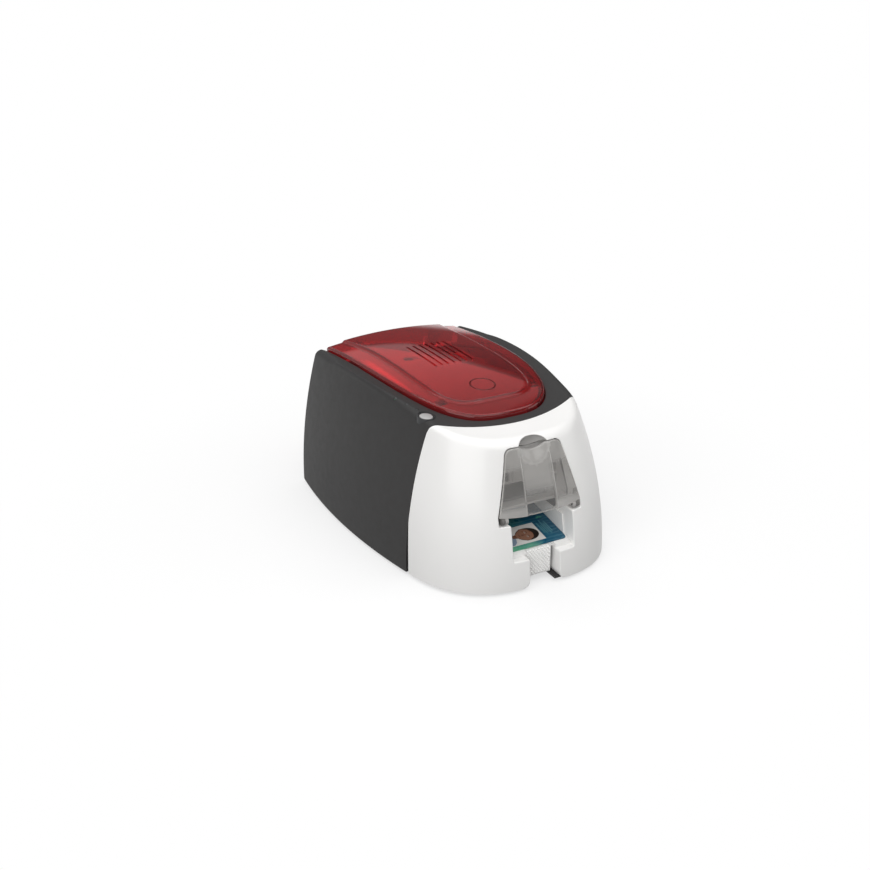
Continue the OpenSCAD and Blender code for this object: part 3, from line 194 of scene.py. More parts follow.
def wall_y(x, z):
    """Place of the front's outer face at width x and height z, rounded above ROUND_Z."""
    zw = min(z, ROUND_Z)
    fx = abs(x) / (1 - 2 * SIDE_LEAN / BODY_W * lean(zw))
    y = FRONT_Y
    for _ in range(8):
        c = min(1, fx / half_w(y)) ** 1.5
        y = NOSE_Y - NOSE_LEN * math.sqrt(1 - c * c) ** FULL
    y = up_wall(fx, y, zw)[1]
    if z > zw:
        s = min(1, math.sin(LEAN_A) + (z - zw) / NOSE_R)
        y += NOSE_R * (math.cos(LEAN_A) - math.sqrt(1 - s * s))
    return y


def front_face(x, z):
    """The feeder cover's and slab's form of the same face."""
    fx = abs(x) / (1 - 2 * SIDE_LEAN / BODY_W * lean(z))
    share = (fx / half_w(FRONT_Y + NOSE_LEN / 4)) ** 3
    return up_wall(fx, NOSE_Y - NOSE_LEN * (1 - share) ** (1 / 3), z)[1]


def ramp(v, low, high):
    """0 below low, 1 above high and smooth between."""
    t = np.clip((v - low) / (high - low), 0, 1)
    return t * t * (3 - 2 * t)


# ---- meshes ----


def make(name, verts, faces):
    """A mesh object from points in millimetres, with outward normals."""
    mesh = bpy.data.meshes.new(name)
    mesh.from_pydata([tuple(c * 0.001 for c in v) for v in verts], [], [tuple(f) for f in faces])
    bm = bmesh.new()
    bm.from_mesh(mesh)
    bmesh.ops.remove_doubles(bm, verts=bm.verts, dist=1e-7)
    bmesh.ops.recalc_face_normals(bm, faces=bm.faces)
    bm.to_mesh(mesh)
    bm.free()
    o = bpy.data.objects.new(name, mesh)
    bpy.context.scene.collection.objects.link(o)
    return o


def boolean(o, other, operation):
    """A boolean applied to o, and the other object removed."""
    mod = o.modifiers.new("cut", "BOOLEAN")
    mod.operation, mod.solver, mod.object = operation, "MANIFOLD", other
    apply(o)
    bpy.data.objects.remove(other)


def apply(o):
    """Every modifier applied."""
    dg = bpy.context.evaluated_depsgraph_get()
    dg.update()
    mesh = bpy.data.meshes.new_from_object(o.evaluated_get(dg))
    o.modifiers.clear()
    o.data = mesh


def smooth(o, angle=32):
    """Smooth shading with sharp edges, where large faces set the normals."""
    bm = bmesh.new()
    bm.from_mesh(o.data)
    bmesh.ops.remove_doubles(bm, verts=bm.verts, dist=2e-6)
    bmesh.ops.dissolve_degenerate(bm, edges=bm.edges, dist=1e-6)
    for f in bm.faces:
        f.smooth = True
    for e in bm.edges:
        e.smooth = len(e.link_faces) == 2 and e.calc_face_angle(math.pi) < math.radians(angle)
    bm.to_mesh(o.data)
    bm.free()
    mod = o.modifiers.new("normals", "WEIGHTED_NORMAL")
    mod.keep_sharp = True
    mod.weight = 90
    return o


def place(o, body, slot, *replaced):
    """Makes a piece ride its body, and holds its points to the CAD's whole box."""
    low, high = cad_box
    for v in o.data.vertices:
        v.co = [min(max(c, a), b) for c, a, b in zip(v.co, low, high)]
    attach(o, body)
    if replaced:
        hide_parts(*replaced)


def grid_faces(rows, cols, base=0):
    """The faces of a grid of points, which are numbered row by row from base."""
    starts = [base + i * cols + j for i in range(rows - 1) for j in range(cols - 1)]
    return [(k, k + cols, k + cols + 1, k + 1) for k in starts]


def loft(rings):
    """A closed solid through rings of the same number of points."""
    m = len(rings[0])
    verts = [p for ring in rings for p in ring]
    faces = []
    for k in range(len(rings) - 1):
        for i in range(m):
            j = (i + 1) % m
            faces.append((k * m + i, k * m + j, (k + 1) * m + j, (k + 1) * m + i))
    faces.append(tuple(range(m)))
    faces.append(tuple((len(rings) - 1) * m + i for i in reversed(range(m))))
    return verts, faces


def rounded(points, radii, n=5):
    """A closed outline with an arc at each corner that has a radius."""
    out, count = [], len(points)
    for i, (p, r) in enumerate(zip(points, radii)):
        if not r:
            out.append(p)
            continue
        p = Vector(p)
        a = (Vector(points[i - 1]) - p).normalized()
        b = (Vector(points[(i + 1) % count]) - p).normalized()
        half = a.angle(b) / 2
        centre = p + (a + b).normalized() * (r / math.sin(half))
        start, end = p + a * (r / math.tan(half)), p + b * (r / math.tan(half))
        u, v = start - centre, end - centre
        total = u.angle(v)
        sign = 1 if u.x * v.y - u.y * v.x > 0 else -1
        for k in range(n + 1):
            out.append(tuple(centre + Matrix.Rotation(sign * total * k / n, 2) @ u))
    return out


def offset(points, d):
    """A closed outline grown by d, with mitred corners; the outline may turn either way."""
    count = len(points)
    area = sum(p[0] * q[1] - q[0] * p[1] for p, q in zip(points, points[1:] + points[:1]))
    sign = 1 if area > 0 else -1
    out = []
    for i, p in enumerate(points):
        p = Vector(p)
        k = i - 1
        while (p - Vector(points[k])).length < 1e-6:
            k -= 1
        a = (p - Vector(points[k])).normalized()
        k = i + 1
        while (Vector(points[k % count]) - p).length < 1e-6:
            k += 1
        b = (Vector(points[k % count]) - p).normalized()
        na, nb = Vector((a.y, -a.x)) * sign, Vector((b.y, -b.x)) * sign
        m = na + nb
        m = m / max(m.length, 1e-6)
        out.append(tuple(p + m * (d / max(0.35, m.dot(na)))))
    return out


def inside(points, outline):
    """Which of the points lie inside the outline."""
    x, y = points[:, 0], points[:, 1]
    res = np.zeros(len(points), bool)
    o = np.array(outline)
    for (x0, y0), (x1, y1) in zip(o, np.roll(o, -1, 0)):
        if y0 == y1:
            continue
        hit = ((y0 > y) != (y1 > y)) & (x < (x1 - x0) * (y - y0) / (y1 - y0) + x0)
        res ^= hit
    return res


def distance(points, outline, closed=True):
    """Distance of each point to a polyline."""
    o = np.array(outline, float)
    ends = np.roll(o, -1, 0) if closed else o[1:]
    best = np.full(len(points), 1e9)
    for a, b in zip(o, ends):
        d = b - a
        t = np.clip(((points - a) @ d) / max(d @ d, 1e-12), 0, 1)
        best = np.minimum(best, np.linalg.norm(points - a - t[:, None] * d, axis=1))
    return best


def plate(name, rings, holes, lines, spacing, front, rear, to_xyz):
    """A closed plate over an outline. rings are (outline, height) pairs from the front face's edge
    round to the rear face's; lines are open lines that the front face's mesh keeps to."""
    first, last = rings[0][0], rings[-1][0]
    loops = [first, last] + holes + lines
    flat, edges = [], []
    for loop in loops:
        base, closed = len(flat), loop[0] != loop[-1] and loop not in lines
        flat += [tuple(p) for p in loop]
        edges += [(base + i, base + i + 1) for i in range(len(loop) - 1)]
        if closed:
            edges.append((base + len(loop) - 1, base))
    # Points on a grid fill the face, none of them too near a line
    low, high = np.min(first, axis=0) + spacing / 2, np.max(first, axis=0)
    fill = np.array([(x, y) for x in np.arange(low[0], high[0], spacing)
                     for y in np.arange(low[1], high[1], spacing)])
    fill = fill[inside(fill, first)]
    for loop in loops:
        fill = fill[distance(fill, loop, loop not in lines) > spacing * 0.42]
    for hole in holes:
        fill = fill[~inside(fill, hole)]
    flat += [tuple(p) for p in fill]
    cdt = delaunay_2d_cdt([Vector(p) for p in flat], edges, [], 0, 1e-6)
    pts = np.array([tuple(p) for p in cdt[0]])
    tris = [tuple(f) for f in cdt[2]]
    where = {}
    for k, sources in enumerate(cdt[3]):
        for i in sources:
            where.setdefault(i, k)
    # Slivers go, and so does what lies in a hole or outside the face's own outline
    corner = pts[np.array(tris)]
    u, v = corner[:, 1] - corner[:, 0], corner[:, 2] - corner[:, 0]
    solid = np.abs(u[:, 0] * v[:, 1] - u[:, 1] * v[:, 0]) > 1e-4
    tris, mid = [t for t, k in zip(tris, solid) if k], corner[solid].mean(1)
    hollow = np.zeros(len(tris), bool)
    for hole in holes:
        hollow |= inside(mid, hole)
    in_front = inside(mid, first) & ~hollow
    in_rear = inside(mid, last) & ~hollow
    zf, zr = front(pts), rear(pts)
    verts = [to_xyz(p[0], p[1], h) for p, h in zip(pts, zf)]
    verts += [to_xyz(p[0], p[1], h) for p, h in zip(pts, zr)]
    count = len(pts)
    faces = [t for t, k in zip(tris, in_front) if k]
    faces += [tuple(count + i for i in t[::-1]) for t, k in zip(tris, in_rear) if k]
    m = len(first)
    ids = [[where[i] for i in range(m)]]
    for outline, height in rings[1:-1]:
        base = len(verts)
        verts += [to_xyz(p[0], p[1], height(i, p)) for i, p in enumerate(outline)]
        ids.append([base + i for i in range(m)])
    ids.append([count + where[m + i] for i in range(m)])
    for a, b in zip(ids, ids[1:]):
        faces += [(a[i], a[(i + 1) % m], b[(i + 1) % m], b[i]) for i in range(m)]
    base = 2 * m
    for hole in holes:
        n = len(hole)
        for i in range(n):
            a, b = where[base + i], where[base + (i + 1) % n]
            faces.append((a, b, count + b, count + a))
        base += n
    used = sorted({i for f in faces for i in f})
    remap = {v: k for k, v in enumerate(used)}
    return make(name, [verts[i] for i in used], [tuple(remap[i] for i in f) for f in faces])


# ---- materials ----

MATS = {}


class Shader:
    """The node tree of a new material, which goes into MATS, or of a given world."""

    def __init__(self, name="", world=None):
        owner = world or bpy.data.materials.new(name)
        if not world:
            MATS[name] = owner
        owner.use_nodes = True
        self.t = owner.node_tree
        self.t.nodes.clear()
        self.out = self.node("OutputWorld" if world else "OutputMaterial")
        self.coord = self.node("TexCoord").outputs["Generated" if world else "Object"]

    def node(self, kind, inputs=None, **props):
        n = self.t.nodes.new("ShaderNode" + kind)
        for k, v in props.items():
            setattr(n, k, v)
        for k, v in (inputs or {}).items():
            self.put(n.inputs[k], v)
        return n

    def put(self, socket, value):
        if isinstance(value, bpy.types.NodeSocket):
            self.t.links.new(value, socket)
        else:
            socket.default_value = value

    def noise(self, scale, detail=3, rough=0.5, stretch=None):
        vec = self.coord
        if stretch:
            vec = self.node("Mapping", {"Vector": vec, "Scale": stretch}).outputs[0]
        n = self.node("TexNoise", {"Vector": vec, "Scale": scale, "Detail": detail, "Roughness": rough})
        return n.outputs["Fac"]

    def span(self, value, low, high, from_low=0.3, from_high=0.7, ease="LINEAR"):
        """The value mapped to low...high; the default source is what noise covers."""
        n = self.node("MapRange", {
            "Value": value, "From Min": from_low, "From Max": from_high, "To Min": low, "To Max": high,
        }, interpolation_type=ease)
        return n.outputs[0]

    def math(self, kind, *values):
        return self.node("Math", dict(enumerate(values)), operation=kind).outputs[0]

    def mix(self, fac, a, b):
        n = self.node("Mix", data_type="RGBA")
        self.put(n.inputs[0], fac)
        self.put(n.inputs[6], a)
        self.put(n.inputs[7], b)
        return n.outputs[2]

    def blend(self, fac, a, b):
        return self.node("MixShader", {0: fac, 1: a, 2: b}).outputs[0]

    def bump(self, height, strength, dist):
        n = self.node("Bump", {"Height": height, "Strength": strength, "Distance": dist})
        return n.outputs[0]

    def surface(self, shader):
        self.put(self.out.inputs["Surface"], shader)


def rgb(r, g, b):
    return (r, g, b, 1.0)


def tinted(c, k):
    return (min(1, c[0] * k), min(1, c[1] * k), min(1, c[2] * k), 1.0)


def moulded(name, base, rough, vary, grain, coat=0.0, metal=0.0, spread=0.06, stretch=None,
            bump=0.25, level=0.5, tone=None):
    """A plastic, rubber or metal with slow colour drift, uneven gloss and its own grain.
    grain is (cells per metre, height in metres); tone changes the colour further."""
    s = Shader(name)
    colour = s.mix(s.span(s.noise(22, 4, 0.55), 0, 1), tinted(base, 1 - vary), tinted(base, 1 + vary))
    b = s.node("BsdfPrincipled", {
        "Base Color": tone(s, colour) if tone else colour,
        "Roughness": s.span(s.noise(132, 4, 0.6), rough - spread, rough + spread),
        "Metallic": metal,
        "Coat Weight": coat,
        "Coat Roughness": 0.12,
        "Specular IOR Level": level,
        "Normal": s.bump(s.noise(grain[0], 2, 0.6, stretch), bump, grain[1]),
    })
    s.surface(b.outputs[0])


def clear(name, tint, shadow, rough, level, painted_light_haze):
    """Clear tinted plastic that lets light through onto what lies behind it. The last argument is a
    milky colour, and its share is the mesh's own value of that name; this milky share is painted light,
    the highlights, reflections and shade laid onto the plastic."""
    s = Shader(name)
    streak = s.span(s.noise(14, 3, 0.5), 0, 1)
    gloss = {"Roughness": s.span(s.noise(60, 5, 0.6), rough * 0.6, rough * 1.4),
             "Normal": s.bump(s.noise(30, 2), 0.08, 0.0002), "IOR": 1.49, "Specular IOR Level": level}
    glass = s.node("BsdfPrincipled", gloss | {
        "Base Color": s.mix(streak, tinted(tint, 0.96), tinted(tint, 1.03)),
        "Transmission Weight": 1.0,
    })
    milk = s.node("BsdfPrincipled", gloss | {"Base Color": rgb(*painted_light_haze)})
    share = s.node("Attribute", attribute_name="painted_light_haze").outputs["Fac"]
    share = s.math("MULTIPLY", share, s.span(s.noise(20, 3), 0.9, 1.1))
    through = s.node("BsdfTransparent", {"Color": rgb(*shadow)})
    path = s.node("LightPath").outputs
    way = s.math("MAXIMUM", path["Is Shadow Ray"], path["Is Diffuse Ray"])
    body = s.blend(share, glass.outputs[0], milk.outputs[0])
    s.surface(s.blend(way, body, through.outputs[0]))


# The finger scoop in the bezel, an ellipsoid
SCOOP, SCOOP_R = (0, front_face(0, COVER_HIGH), 113.5), (13.5, 10, 10.6)


def scoop_shade_tone(s, colour):
    """Painted shade: mid grey on the scoop's face, where the recess lies in shadow, and the given colour
    elsewhere.
    """
    rel = s.node("Mapping", {"Vector": s.coord, "Location": [-c / r for c, r in zip(SCOOP, SCOOP_R)],
                             "Scale": [1000 / r for r in SCOOP_R]})
    far = s.node("VectorMath", {0: rel.outputs[0]}, operation="LENGTH").outputs["Value"]
    return s.mix(s.span(far, 1, 0, 1.0, 1.05), colour, rgb(0.50, 0.49, 0.475))


def liner_shade_tone(s, colour):
    """The liner under the lid: darker toward its tip, with painted shade in black along its right edge,
    where it lies in the shadow by the housing wall, and a pale strip along its left side."""
    x, y, _ = s.node("SeparateXYZ", {0: s.coord}).outputs
    tone = s.span(y, 0.45, 1.3, -0.072, 0.045)
    # Painted shade: black beyond a slanting line near the right edge
    right = s.math("MULTIPLY_ADD", y, 0.57, x)
    tone = s.math("MULTIPLY", tone, s.span(right, 1, 0.1, 0.0185, 0.0205))
    strip = s.math("MULTIPLY", s.span(x, 0, 1, -0.0680, -0.0660), s.span(x, 1, 0, -0.0575, -0.0545))
    strip = s.math("MULTIPLY", strip, s.span(y, 0, 1, -0.030, -0.020))
    strip = s.math("MULTIPLY", strip, s.span(y, 1, 0, 0.060, 0.078))
    tone = s.math("MULTIPLY_ADD", strip, 1.4, tone)
    return s.node("VectorMath", {0: colour, "Scale": tone}, operation="SCALE").outputs[0]


GREY = (0.027, 0.026, 0.026)
WHITE = (0.88, 0.873, 0.86)
moulded("housing_grey", GREY, 0.58, 0.05, (2600, 0.00005), spread=0.03, bump=0.4, level=0.4)
# The white bezel takes painted shade in its finger scoop
moulded("bezel_white", WHITE, 0.3, 0.008, (2600, 0.00001), coat=0.2, spread=0.012, bump=0.05,
        tone=scoop_shade_tone)
moulded("rubber_black", (0.028, 0.028, 0.029), 0.72, 0.12, (3000, 0.00005))
moulded("steel", (0.56, 0.565, 0.57), 0.33, 0.06, (700, 0.00002), metal=1.0, stretch=(0.06, 1, 1),
        bump=0.2)
moulded("inner_grey", (0.74, 0.73, 0.71), 0.45, 0.03, (2000, 0.00004))
moulded("black_plastic", (0.022, 0.022, 0.024), 0.42, 0.12, (2200, 0.00004))
moulded("ceramic", (0.72, 0.70, 0.65), 0.3, 0.03, (1500, 0.00001))
moulded("aluminium", (0.72, 0.72, 0.73), 0.36, 0.05, (900, 0.00002), metal=1.0, stretch=(0.05, 1, 1),
        bump=0.3)
moulded("connector_white", (0.79, 0.78, 0.74), 0.5, 0.04, (2000, 0.00003))
moulded("brass", (0.66, 0.50, 0.24), 0.34, 0.08, (1600, 0.00002), metal=1.0)
moulded("cleaning_blue", (0.16, 0.38, 0.52), 0.55, 0.08, (1500, 0.00004))
moulded("gear_white", (0.82, 0.81, 0.77), 0.4, 0.03, (1800, 0.00003))
moulded("motor_black", (0.035, 0.035, 0.038), 0.36, 0.12, (1200, 0.00003))
moulded("ribbon", (0.05, 0.035, 0.09), 0.18, 0.2, (500, 0.00002), stretch=(0.02, 1, 1))
# The liner takes painted shade along its right edge
moulded("carrier_grey", (0.34, 0.335, 0.33), 0.5, 0.04, (2000, 0.00004), tone=liner_shade_tone)
moulded("board_green", (0.018, 0.13, 0.055), 0.3, 0.15, (700, 0.00004))
moulded("button_silver", (0.42, 0.41, 0.405), 0.3, 0.03, (1800, 0.00002), coat=0.4)
clear("red_lid", (0.82, 0.035, 0.045), (0.95, 0.30, 0.28), 0.05, 0.35, (0.23, 0.016, 0.018))
clear("smoky_cover", (0.80, 0.79, 0.775), (0.80, 0.79, 0.78), 0.06, 0.5, (0.46, 0.45, 0.435))
moulded("ear_grey", (0.15, 0.146, 0.14), 0.4, 0.08, (2000, 0.00003))
moulded("pusher_grey", (0.07, 0.068, 0.066), 0.5, 0.08, (2000, 0.00004))
moulded("feeder_grey", (0.42, 0.41, 0.40), 0.5, 0.04, (2000, 0.00004))
moulded("card_print", (0.01, 0.15, 0.27), 0.2, 0.04, (1200, 0.00001), coat=0.5)
slots = {s["node"]: s["material_slot"] for s in frame["record"]["subparts"]}
slots |= {"feeder_cover_ears": "ear_grey", "card_pusher": "pusher_grey"}
# The feeder housing and the inner deck take a darker grey than the other inner parts; on the inner deck
# it is painted shade, where it shows through the lid
slots |= {"feeder_housing": "feeder_grey", "inner_deck": "feeder_grey"}
for name, o in nodes.items():
    o.data.materials.clear()
    o.data.materials.append(MATS[slots[name]])


def paint(o, name):
    o.data.materials.clear()
    o.data.materials.append(MATS[name])
    for f in o.data.polygons:
        f.material_index = 0
    return o


# ---- dark housing and white bezel ----


def seam_prism(ahead):
    """All that lies before the bowed seam between housing and bezel, cut so far ahead of it."""
    seam = [(BODY_W, SEAM_Y - ahead)]
    seam += [(x, SEAM_Y - SEAM_BOW * (1 - (x / SEAM_HALF) ** 2) - ahead)
             for x in np.linspace(SEAM_HALF, -SEAM_HALF, 41)]
    seam += [(-BODY_W, SEAM_Y - ahead), (-BODY_W, FRONT_Y - 20), (BODY_W, FRONT_Y - 20)]
    return make("seam", *loft([[(x, y, z) for x, y in seam] for z in (-10, 170)]))


def shell(name, start):
    """The shell from one place of its outline round the tip to the same place on the left."""
    places = [*np.linspace(0, NOSE_T, 31)[:-1], *np.linspace(NOSE_T, TIP_T, 46)]
    right = [columns(float(t)) for t in places if t >= start]
    left = [[[(-x, y, z) for x, y, z in face] for face in col] for col in right[-2::-1]]
    cols = right + left
    count, outer_n, inner_n = len(cols), len(cols[0][0]), len(cols[0][1])
    base = count * outer_n
    verts = [p for outer, _ in cols for p in outer] + [p for _, inner in cols for p in inner]
    faces = grid_faces(count, outer_n) + grid_faces(count, inner_n, base)
    # The rim at the foot and in the lid's opening, and the two ends
    for i in range(count - 1):
        a, b = i * outer_n, (i + 1) * outer_n
        c, d = base + (i + 1) * inner_n, base + i * inner_n
        faces.append((a, b, c, d))
        faces.append((a + outer_n - 1, b + outer_n - 1, c + inner_n - 1, d + inner_n - 1))
    for i in (0, count - 1):
        faces.append([i * outer_n + j for j in range(outer_n)]
                     + [base + i * inner_n + j for j in reversed(range(inner_n))])
    return make(name, verts, faces)


def circle(x, y, r, n):
    return [(x + r * math.cos(2 * math.pi * k / n), y + r * math.sin(2 * math.pi * k / n))
            for k in range(n)]


def drill(x, y, r, n=48):
    """A cutter for a round hole through the shoulder."""
    return make("c", *loft([[(a, b, z) for a, b in circle(x, y, r, n)] for z in (119, 140)]))


BUTTON, BUTTON_HOLE = (-64, -57), 7.45
LIGHTS, LIGHT_HOLE = [(-66, -45), (-69.5, -34), (-73, -20)], 1.4
housing = shell("housing_shell", 0)
HOUSING_TREE = BVHTree.FromObject(housing, bpy.context.evaluated_depsgraph_get())
boolean(housing, seam_prism(-SEAM_GAP / 2), "DIFFERENCE")
boolean(housing, drill(*BUTTON, BUTTON_HOLE), "DIFFERENCE")
for p in LIGHTS:
    boolean(housing, drill(*p, LIGHT_HOLE, 24), "DIFFERENCE")
place(smooth(paint(housing, "housing_grey")), "body", "housing_grey", "main_housing")

# The right half of the front openings' outline in X and Z, and the radii of its corners
OPENING_FOOT, OPENING_TOP = -3, 116.1
HALF_OPENING = [(20.5, OPENING_FOOT), (20.5, 2.5), (14, 2.5), (14, 27.6), (28.5, 27.6), (28.5, 58),
                (38.1, 58), (38.1, 65.6), (25, OPENING_TOP)]
RADII = [0, 0, 6, 1.5, 1.2, 1.2, 1.2, 0, 6]
# The dip in the top edge of the opening and of the cover
DIP_HALF, DIP = 12, 4
# The bezel's front wall thickens round the openings by a flange, and their edges are rounded
FLANGE, LIP_R = 2, 0.9


def dense(points, step=2.5):
    """A closed outline with more points along its long edges."""
    out = []
    for p, q in zip(points, points[1:] + points[:1]):
        n = max(1, math.ceil(math.dist(p, q) / step))
        out += [(p[0] + (q[0] - p[0]) * k / n, p[1] + (q[1] - p[1]) * k / n) for k in range(n)]
    return out


def dip_line(top, dip):
    """The dip of a top edge, from its right end to the middle."""
    return [(x, top - dip * (1 - (x / DIP_HALF) ** 2)) for x in np.linspace(DIP_HALF, 0, 9)]


def opening(dip=DIP, grow=0.0):
    """The front openings' whole outline; a grown one keeps its corners sharp."""
    half = offset(HALF_OPENING + [(0, OPENING_TOP), (0, OPENING_FOOT)], grow)
    if not grow:
        half = rounded(half, RADII + [0, 0], 6)
    half = half[:-2] + dip_line(OPENING_TOP + grow, dip)
    return dense(half + [(-x, z) for x, z in half[-2::-1]])


def opening_cutter():
    """The cutter of the front openings, with a rounded lip where it leaves the bezel."""
    base = opening()
    rings = [[(x, FRONT_Y - 8, z) for x, z in offset(base, LIP_R)]]
    for a in np.linspace(0, math.pi / 2, 6):
        grown = offset(base, LIP_R * (1 - math.sin(a)))
        rings.append([(x, wall_y(x, z) + LIP_R * (1 - math.cos(a)), z) for x, z in grown])
    rings.append([(x, FRONT_Y + 50, z) for x, z in base])
    return make("c", *loft(rings))


def ellipsoid(centre, radii, n=40, m=24):
    verts, faces = [], []
    for j in range(m + 1):
        b = math.pi * j / m - math.pi / 2
        for i in range(n):
            a = 2 * math.pi * i / n
            verts.append((centre[0] + radii[0] * math.cos(b) * math.cos(a),
                          centre[1] + radii[1] * math.cos(b) * math.sin(a),
                          centre[2] + radii[2] * math.sin(b)))
    for j in range(m):
        for i in range(n):
            k = (i + 1) % n
            faces.append((j * n + i, j * n + k, (j + 1) * n + k, (j + 1) * n + i))
    return make("c", verts, faces)


bezel = shell("bezel_shell", NOSE_T)
boolean(bezel, seam_prism(SEAM_GAP / 2), "INTERSECT")
# The flange runs back from just inside the wall's face
flange = [(x, z) for x, z in opening(0, FLANGE) if z > 5]
flange = dense([(-flange[0][0], 5.1), (flange[0][0], 5.1)] + flange)
block = plate("c", [(flange, None), (flange, None)], [], [], 3,
              lambda p: [wall_y(x, z) + 0.9 for x, z in p],
              lambda p: [FRONT_Y + 30.0] * len(p), lambda x, z, y: (x, y, z))
boolean(bezel, block, "UNION")
# The scoop's bowl is 1.5 thick and stays 0.7 inside the bezel's middle section
bowl = ellipsoid(SCOOP, [r + 1.5 for r in SCOOP_R])
column = [(p[1], p[2]) for p in columns(TIP_T)[0][:-6]]
section = offset(column + [(column[-1][0], FOOT_H)], -0.7)
boolean(bowl, make("c", *loft([[(x, y, z) for y, z in section] for x in (-18, 18)])), "INTERSECT")
boolean(bezel, bowl, "UNION")
boolean(bezel, opening_cutter(), "DIFFERENCE")
boolean(bezel, ellipsoid(SCOOP, SCOOP_R), "DIFFERENCE")
place(smooth(paint(bezel, "bezel_white")), "body", "bezel_white", "front_bezel")

# ---- lid ----

EDGE_R, STEP_W = 2.2, 3.0
# The plateau flares to the rear of BEND_Y and is a full oval before it
PLATEAU_HALF, FLARE, BEND_Y, PLATEAU_LEN, PLATEAU_FULL = 48, 5, 60, 119, 2 / 4.5
RING, RING_R, GROOVE_HALF, GROOVE = (0, -35), 10.5, 0.5, 0.6
VENT_COUNT, VENT_PITCH, VENT_Y, VENT_HALF, VENT_R = 7, 6, 42, 28.1, 0.9
# The rear skirt ends higher over the hinge arms
SKIRT_HALF, SKIRT_Z, NOTCH_Z, NOTCH = 64, 115.0, 124.0, (32, 43.5)


def plateau_x(y):
    return PLATEAU_HALF + FLARE * (1 - np.clip((REAR_Y - y) / (REAR_Y - BEND_Y), 0, 1)) ** 2


def plateau_line(d):
    """The plateau's outline, moved in by d, from the lid's rear edge round the tip and back."""
    pts = [(float(plateau_x(y)), y) for y in np.linspace(REAR_Y, BEND_Y, 34)]
    for k in range(1, 41):
        a = math.radians(90 * k / 40)
        pts.append((PLATEAU_HALF * max(math.cos(a), 0) ** PLATEAU_FULL,
                    BEND_Y - PLATEAU_LEN * math.sin(a) ** PLATEAU_FULL))
    pts[-1] = (0, pts[-1][1])
    closed = pts + [(-x, y) for x, y in pts[-2::-1]]
    moved = offset(closed, -d)[:len(pts)]
    moved[-1] = (0, moved[-1][1])
    rear = REAR_Y - EDGE_R
    end_x = float(plateau_x(rear)) - d
    moved = [(end_x, rear), (end_x, REAR_Y - LID_T)] + [p for p in moved if p[1] < rear - 1]
    return moved + [(-x, y) for x, y in moved[-2::-1]]


def lid_face(x, y):
    """Height of the lid without its plateau and groove."""
    share = np.clip((y - LID_TIP) / (REAR_Y - LID_TIP), 0, 1)
    return edge_z(y) + RIM_H + CROWN * share**0.65 * (1 - (2 * x / LID_W) ** 2)


PLATEAU = plateau_line(0)
PLATEAU_FAR = [(PLATEAU[0][0], 200)] + PLATEAU + [(PLATEAU[-1][0], 200)]


def lid_height(p, groove=GROOVE):
    p = np.array(p, float).reshape(-1, 2)
    d = np.where(inside(p, PLATEAU_FAR), distance(p, PLATEAU_FAR, False), 0)
    r = np.hypot(p[:, 0] - RING[0], p[:, 1] - RING[1]) - RING_R
    face = lid_face(p[:, 0], np.minimum(p[:, 1], REAR_Y)) + STEP_H * ramp(d, 0, STEP_W)
    return face - groove * np.clip(1 - (r / GROOVE_HALF) ** 2, 0, 1)


def lid_bottom(p):
    x, y = abs(p[0]), p[1]
    if y > REAR_Y - 3 and x < SKIRT_HALF:
        return NOTCH_Z if NOTCH[0] <= x <= NOTCH[1] else SKIRT_Z
    return float(edge_z(y)) - SKIRT_H


# Points along the rear edge, a close pair at each step of the skirt's lower edge
rear_x = [64.01, 63.99, 59]
rear_x += [float(plateau_x(REAR_Y - EDGE_R)) - STEP_W * k / 6 for k in range(7)]
rear_x += [47, 43.51, 43.49, 38, 32.01, 31.99, 26, 20, 14, 7, 0]
side = [lid_point(t, 0) for t in [*np.linspace(0, BEND_T, 16)[:-1], *np.linspace(BEND_T, TIP_T, 72)]]
side[-1] = (0, side[-1][1])
LID_LINE = side + [(-x, y) for x, y in side[-2::-1]]
LID_LINE += [(-x, REAR_Y) for x in rear_x] + [(x, REAR_Y) for x in rear_x[-2::-1]]


def lid_ring(grow, drop):
    """A ring of the lid's rounded rim, so much below the face."""
    line = offset(LID_LINE, grow)
    z = lid_height(line)
    return line, lambda i, p: z[i] - drop


rings = [(offset(LID_LINE, -EDGE_R), None)]
for a in np.linspace(0, math.pi / 2, 6)[1:]:
    rings.append(lid_ring(-EDGE_R * (1 - math.sin(a)), EDGE_R * (1 - math.cos(a))))
rings.append((LID_LINE, lambda i, p: lid_bottom(LID_LINE[i])))
inner_line = offset(LID_LINE, -LID_T)
rings.append((inner_line, lambda i, p: lid_bottom(LID_LINE[i])))
rings.append((inner_line, None))
end = [(VENT_R * math.cos(a), VENT_HALF + VENT_R * math.sin(a)) for a in np.linspace(0, math.pi, 7)]
vent = dense(end + [(-p, -q) for p, q in end], 3)
vents = [[((i - VENT_COUNT // 2) * VENT_PITCH + p, VENT_Y + q) for p, q in vent]
         for i in range(VENT_COUNT)]
lid_lines = [plateau_line(STEP_W * k / 6) for k in range(7)]
for k in (1, 0.5, 0, -0.5, -1):
    groove = circle(*RING, RING_R + GROOVE_HALF * k, 72)
    lid_lines.append(groove + groove[:1])
lid = plate("lid", rings, vents, lid_lines, 3, lid_height,
            lambda p: lid_height(p, 0) - LID_T, lambda x, y, z: (x, y, float(z)))
smooth(paint(lid, "red_lid"), 33)


def points_of(o):
    return np.array([tuple(v.co * 1000) for v in o.data.vertices])


def set_painted_light_haze(o, *parts):
    """The strongest of the parts becomes the mesh's milky share of painted light and shade."""
    data = o.data.attributes.new("painted_light_haze", "FLOAT", "POINT").data
    data.foreach_set("value", np.max(np.broadcast_arrays(*parts), axis=0))


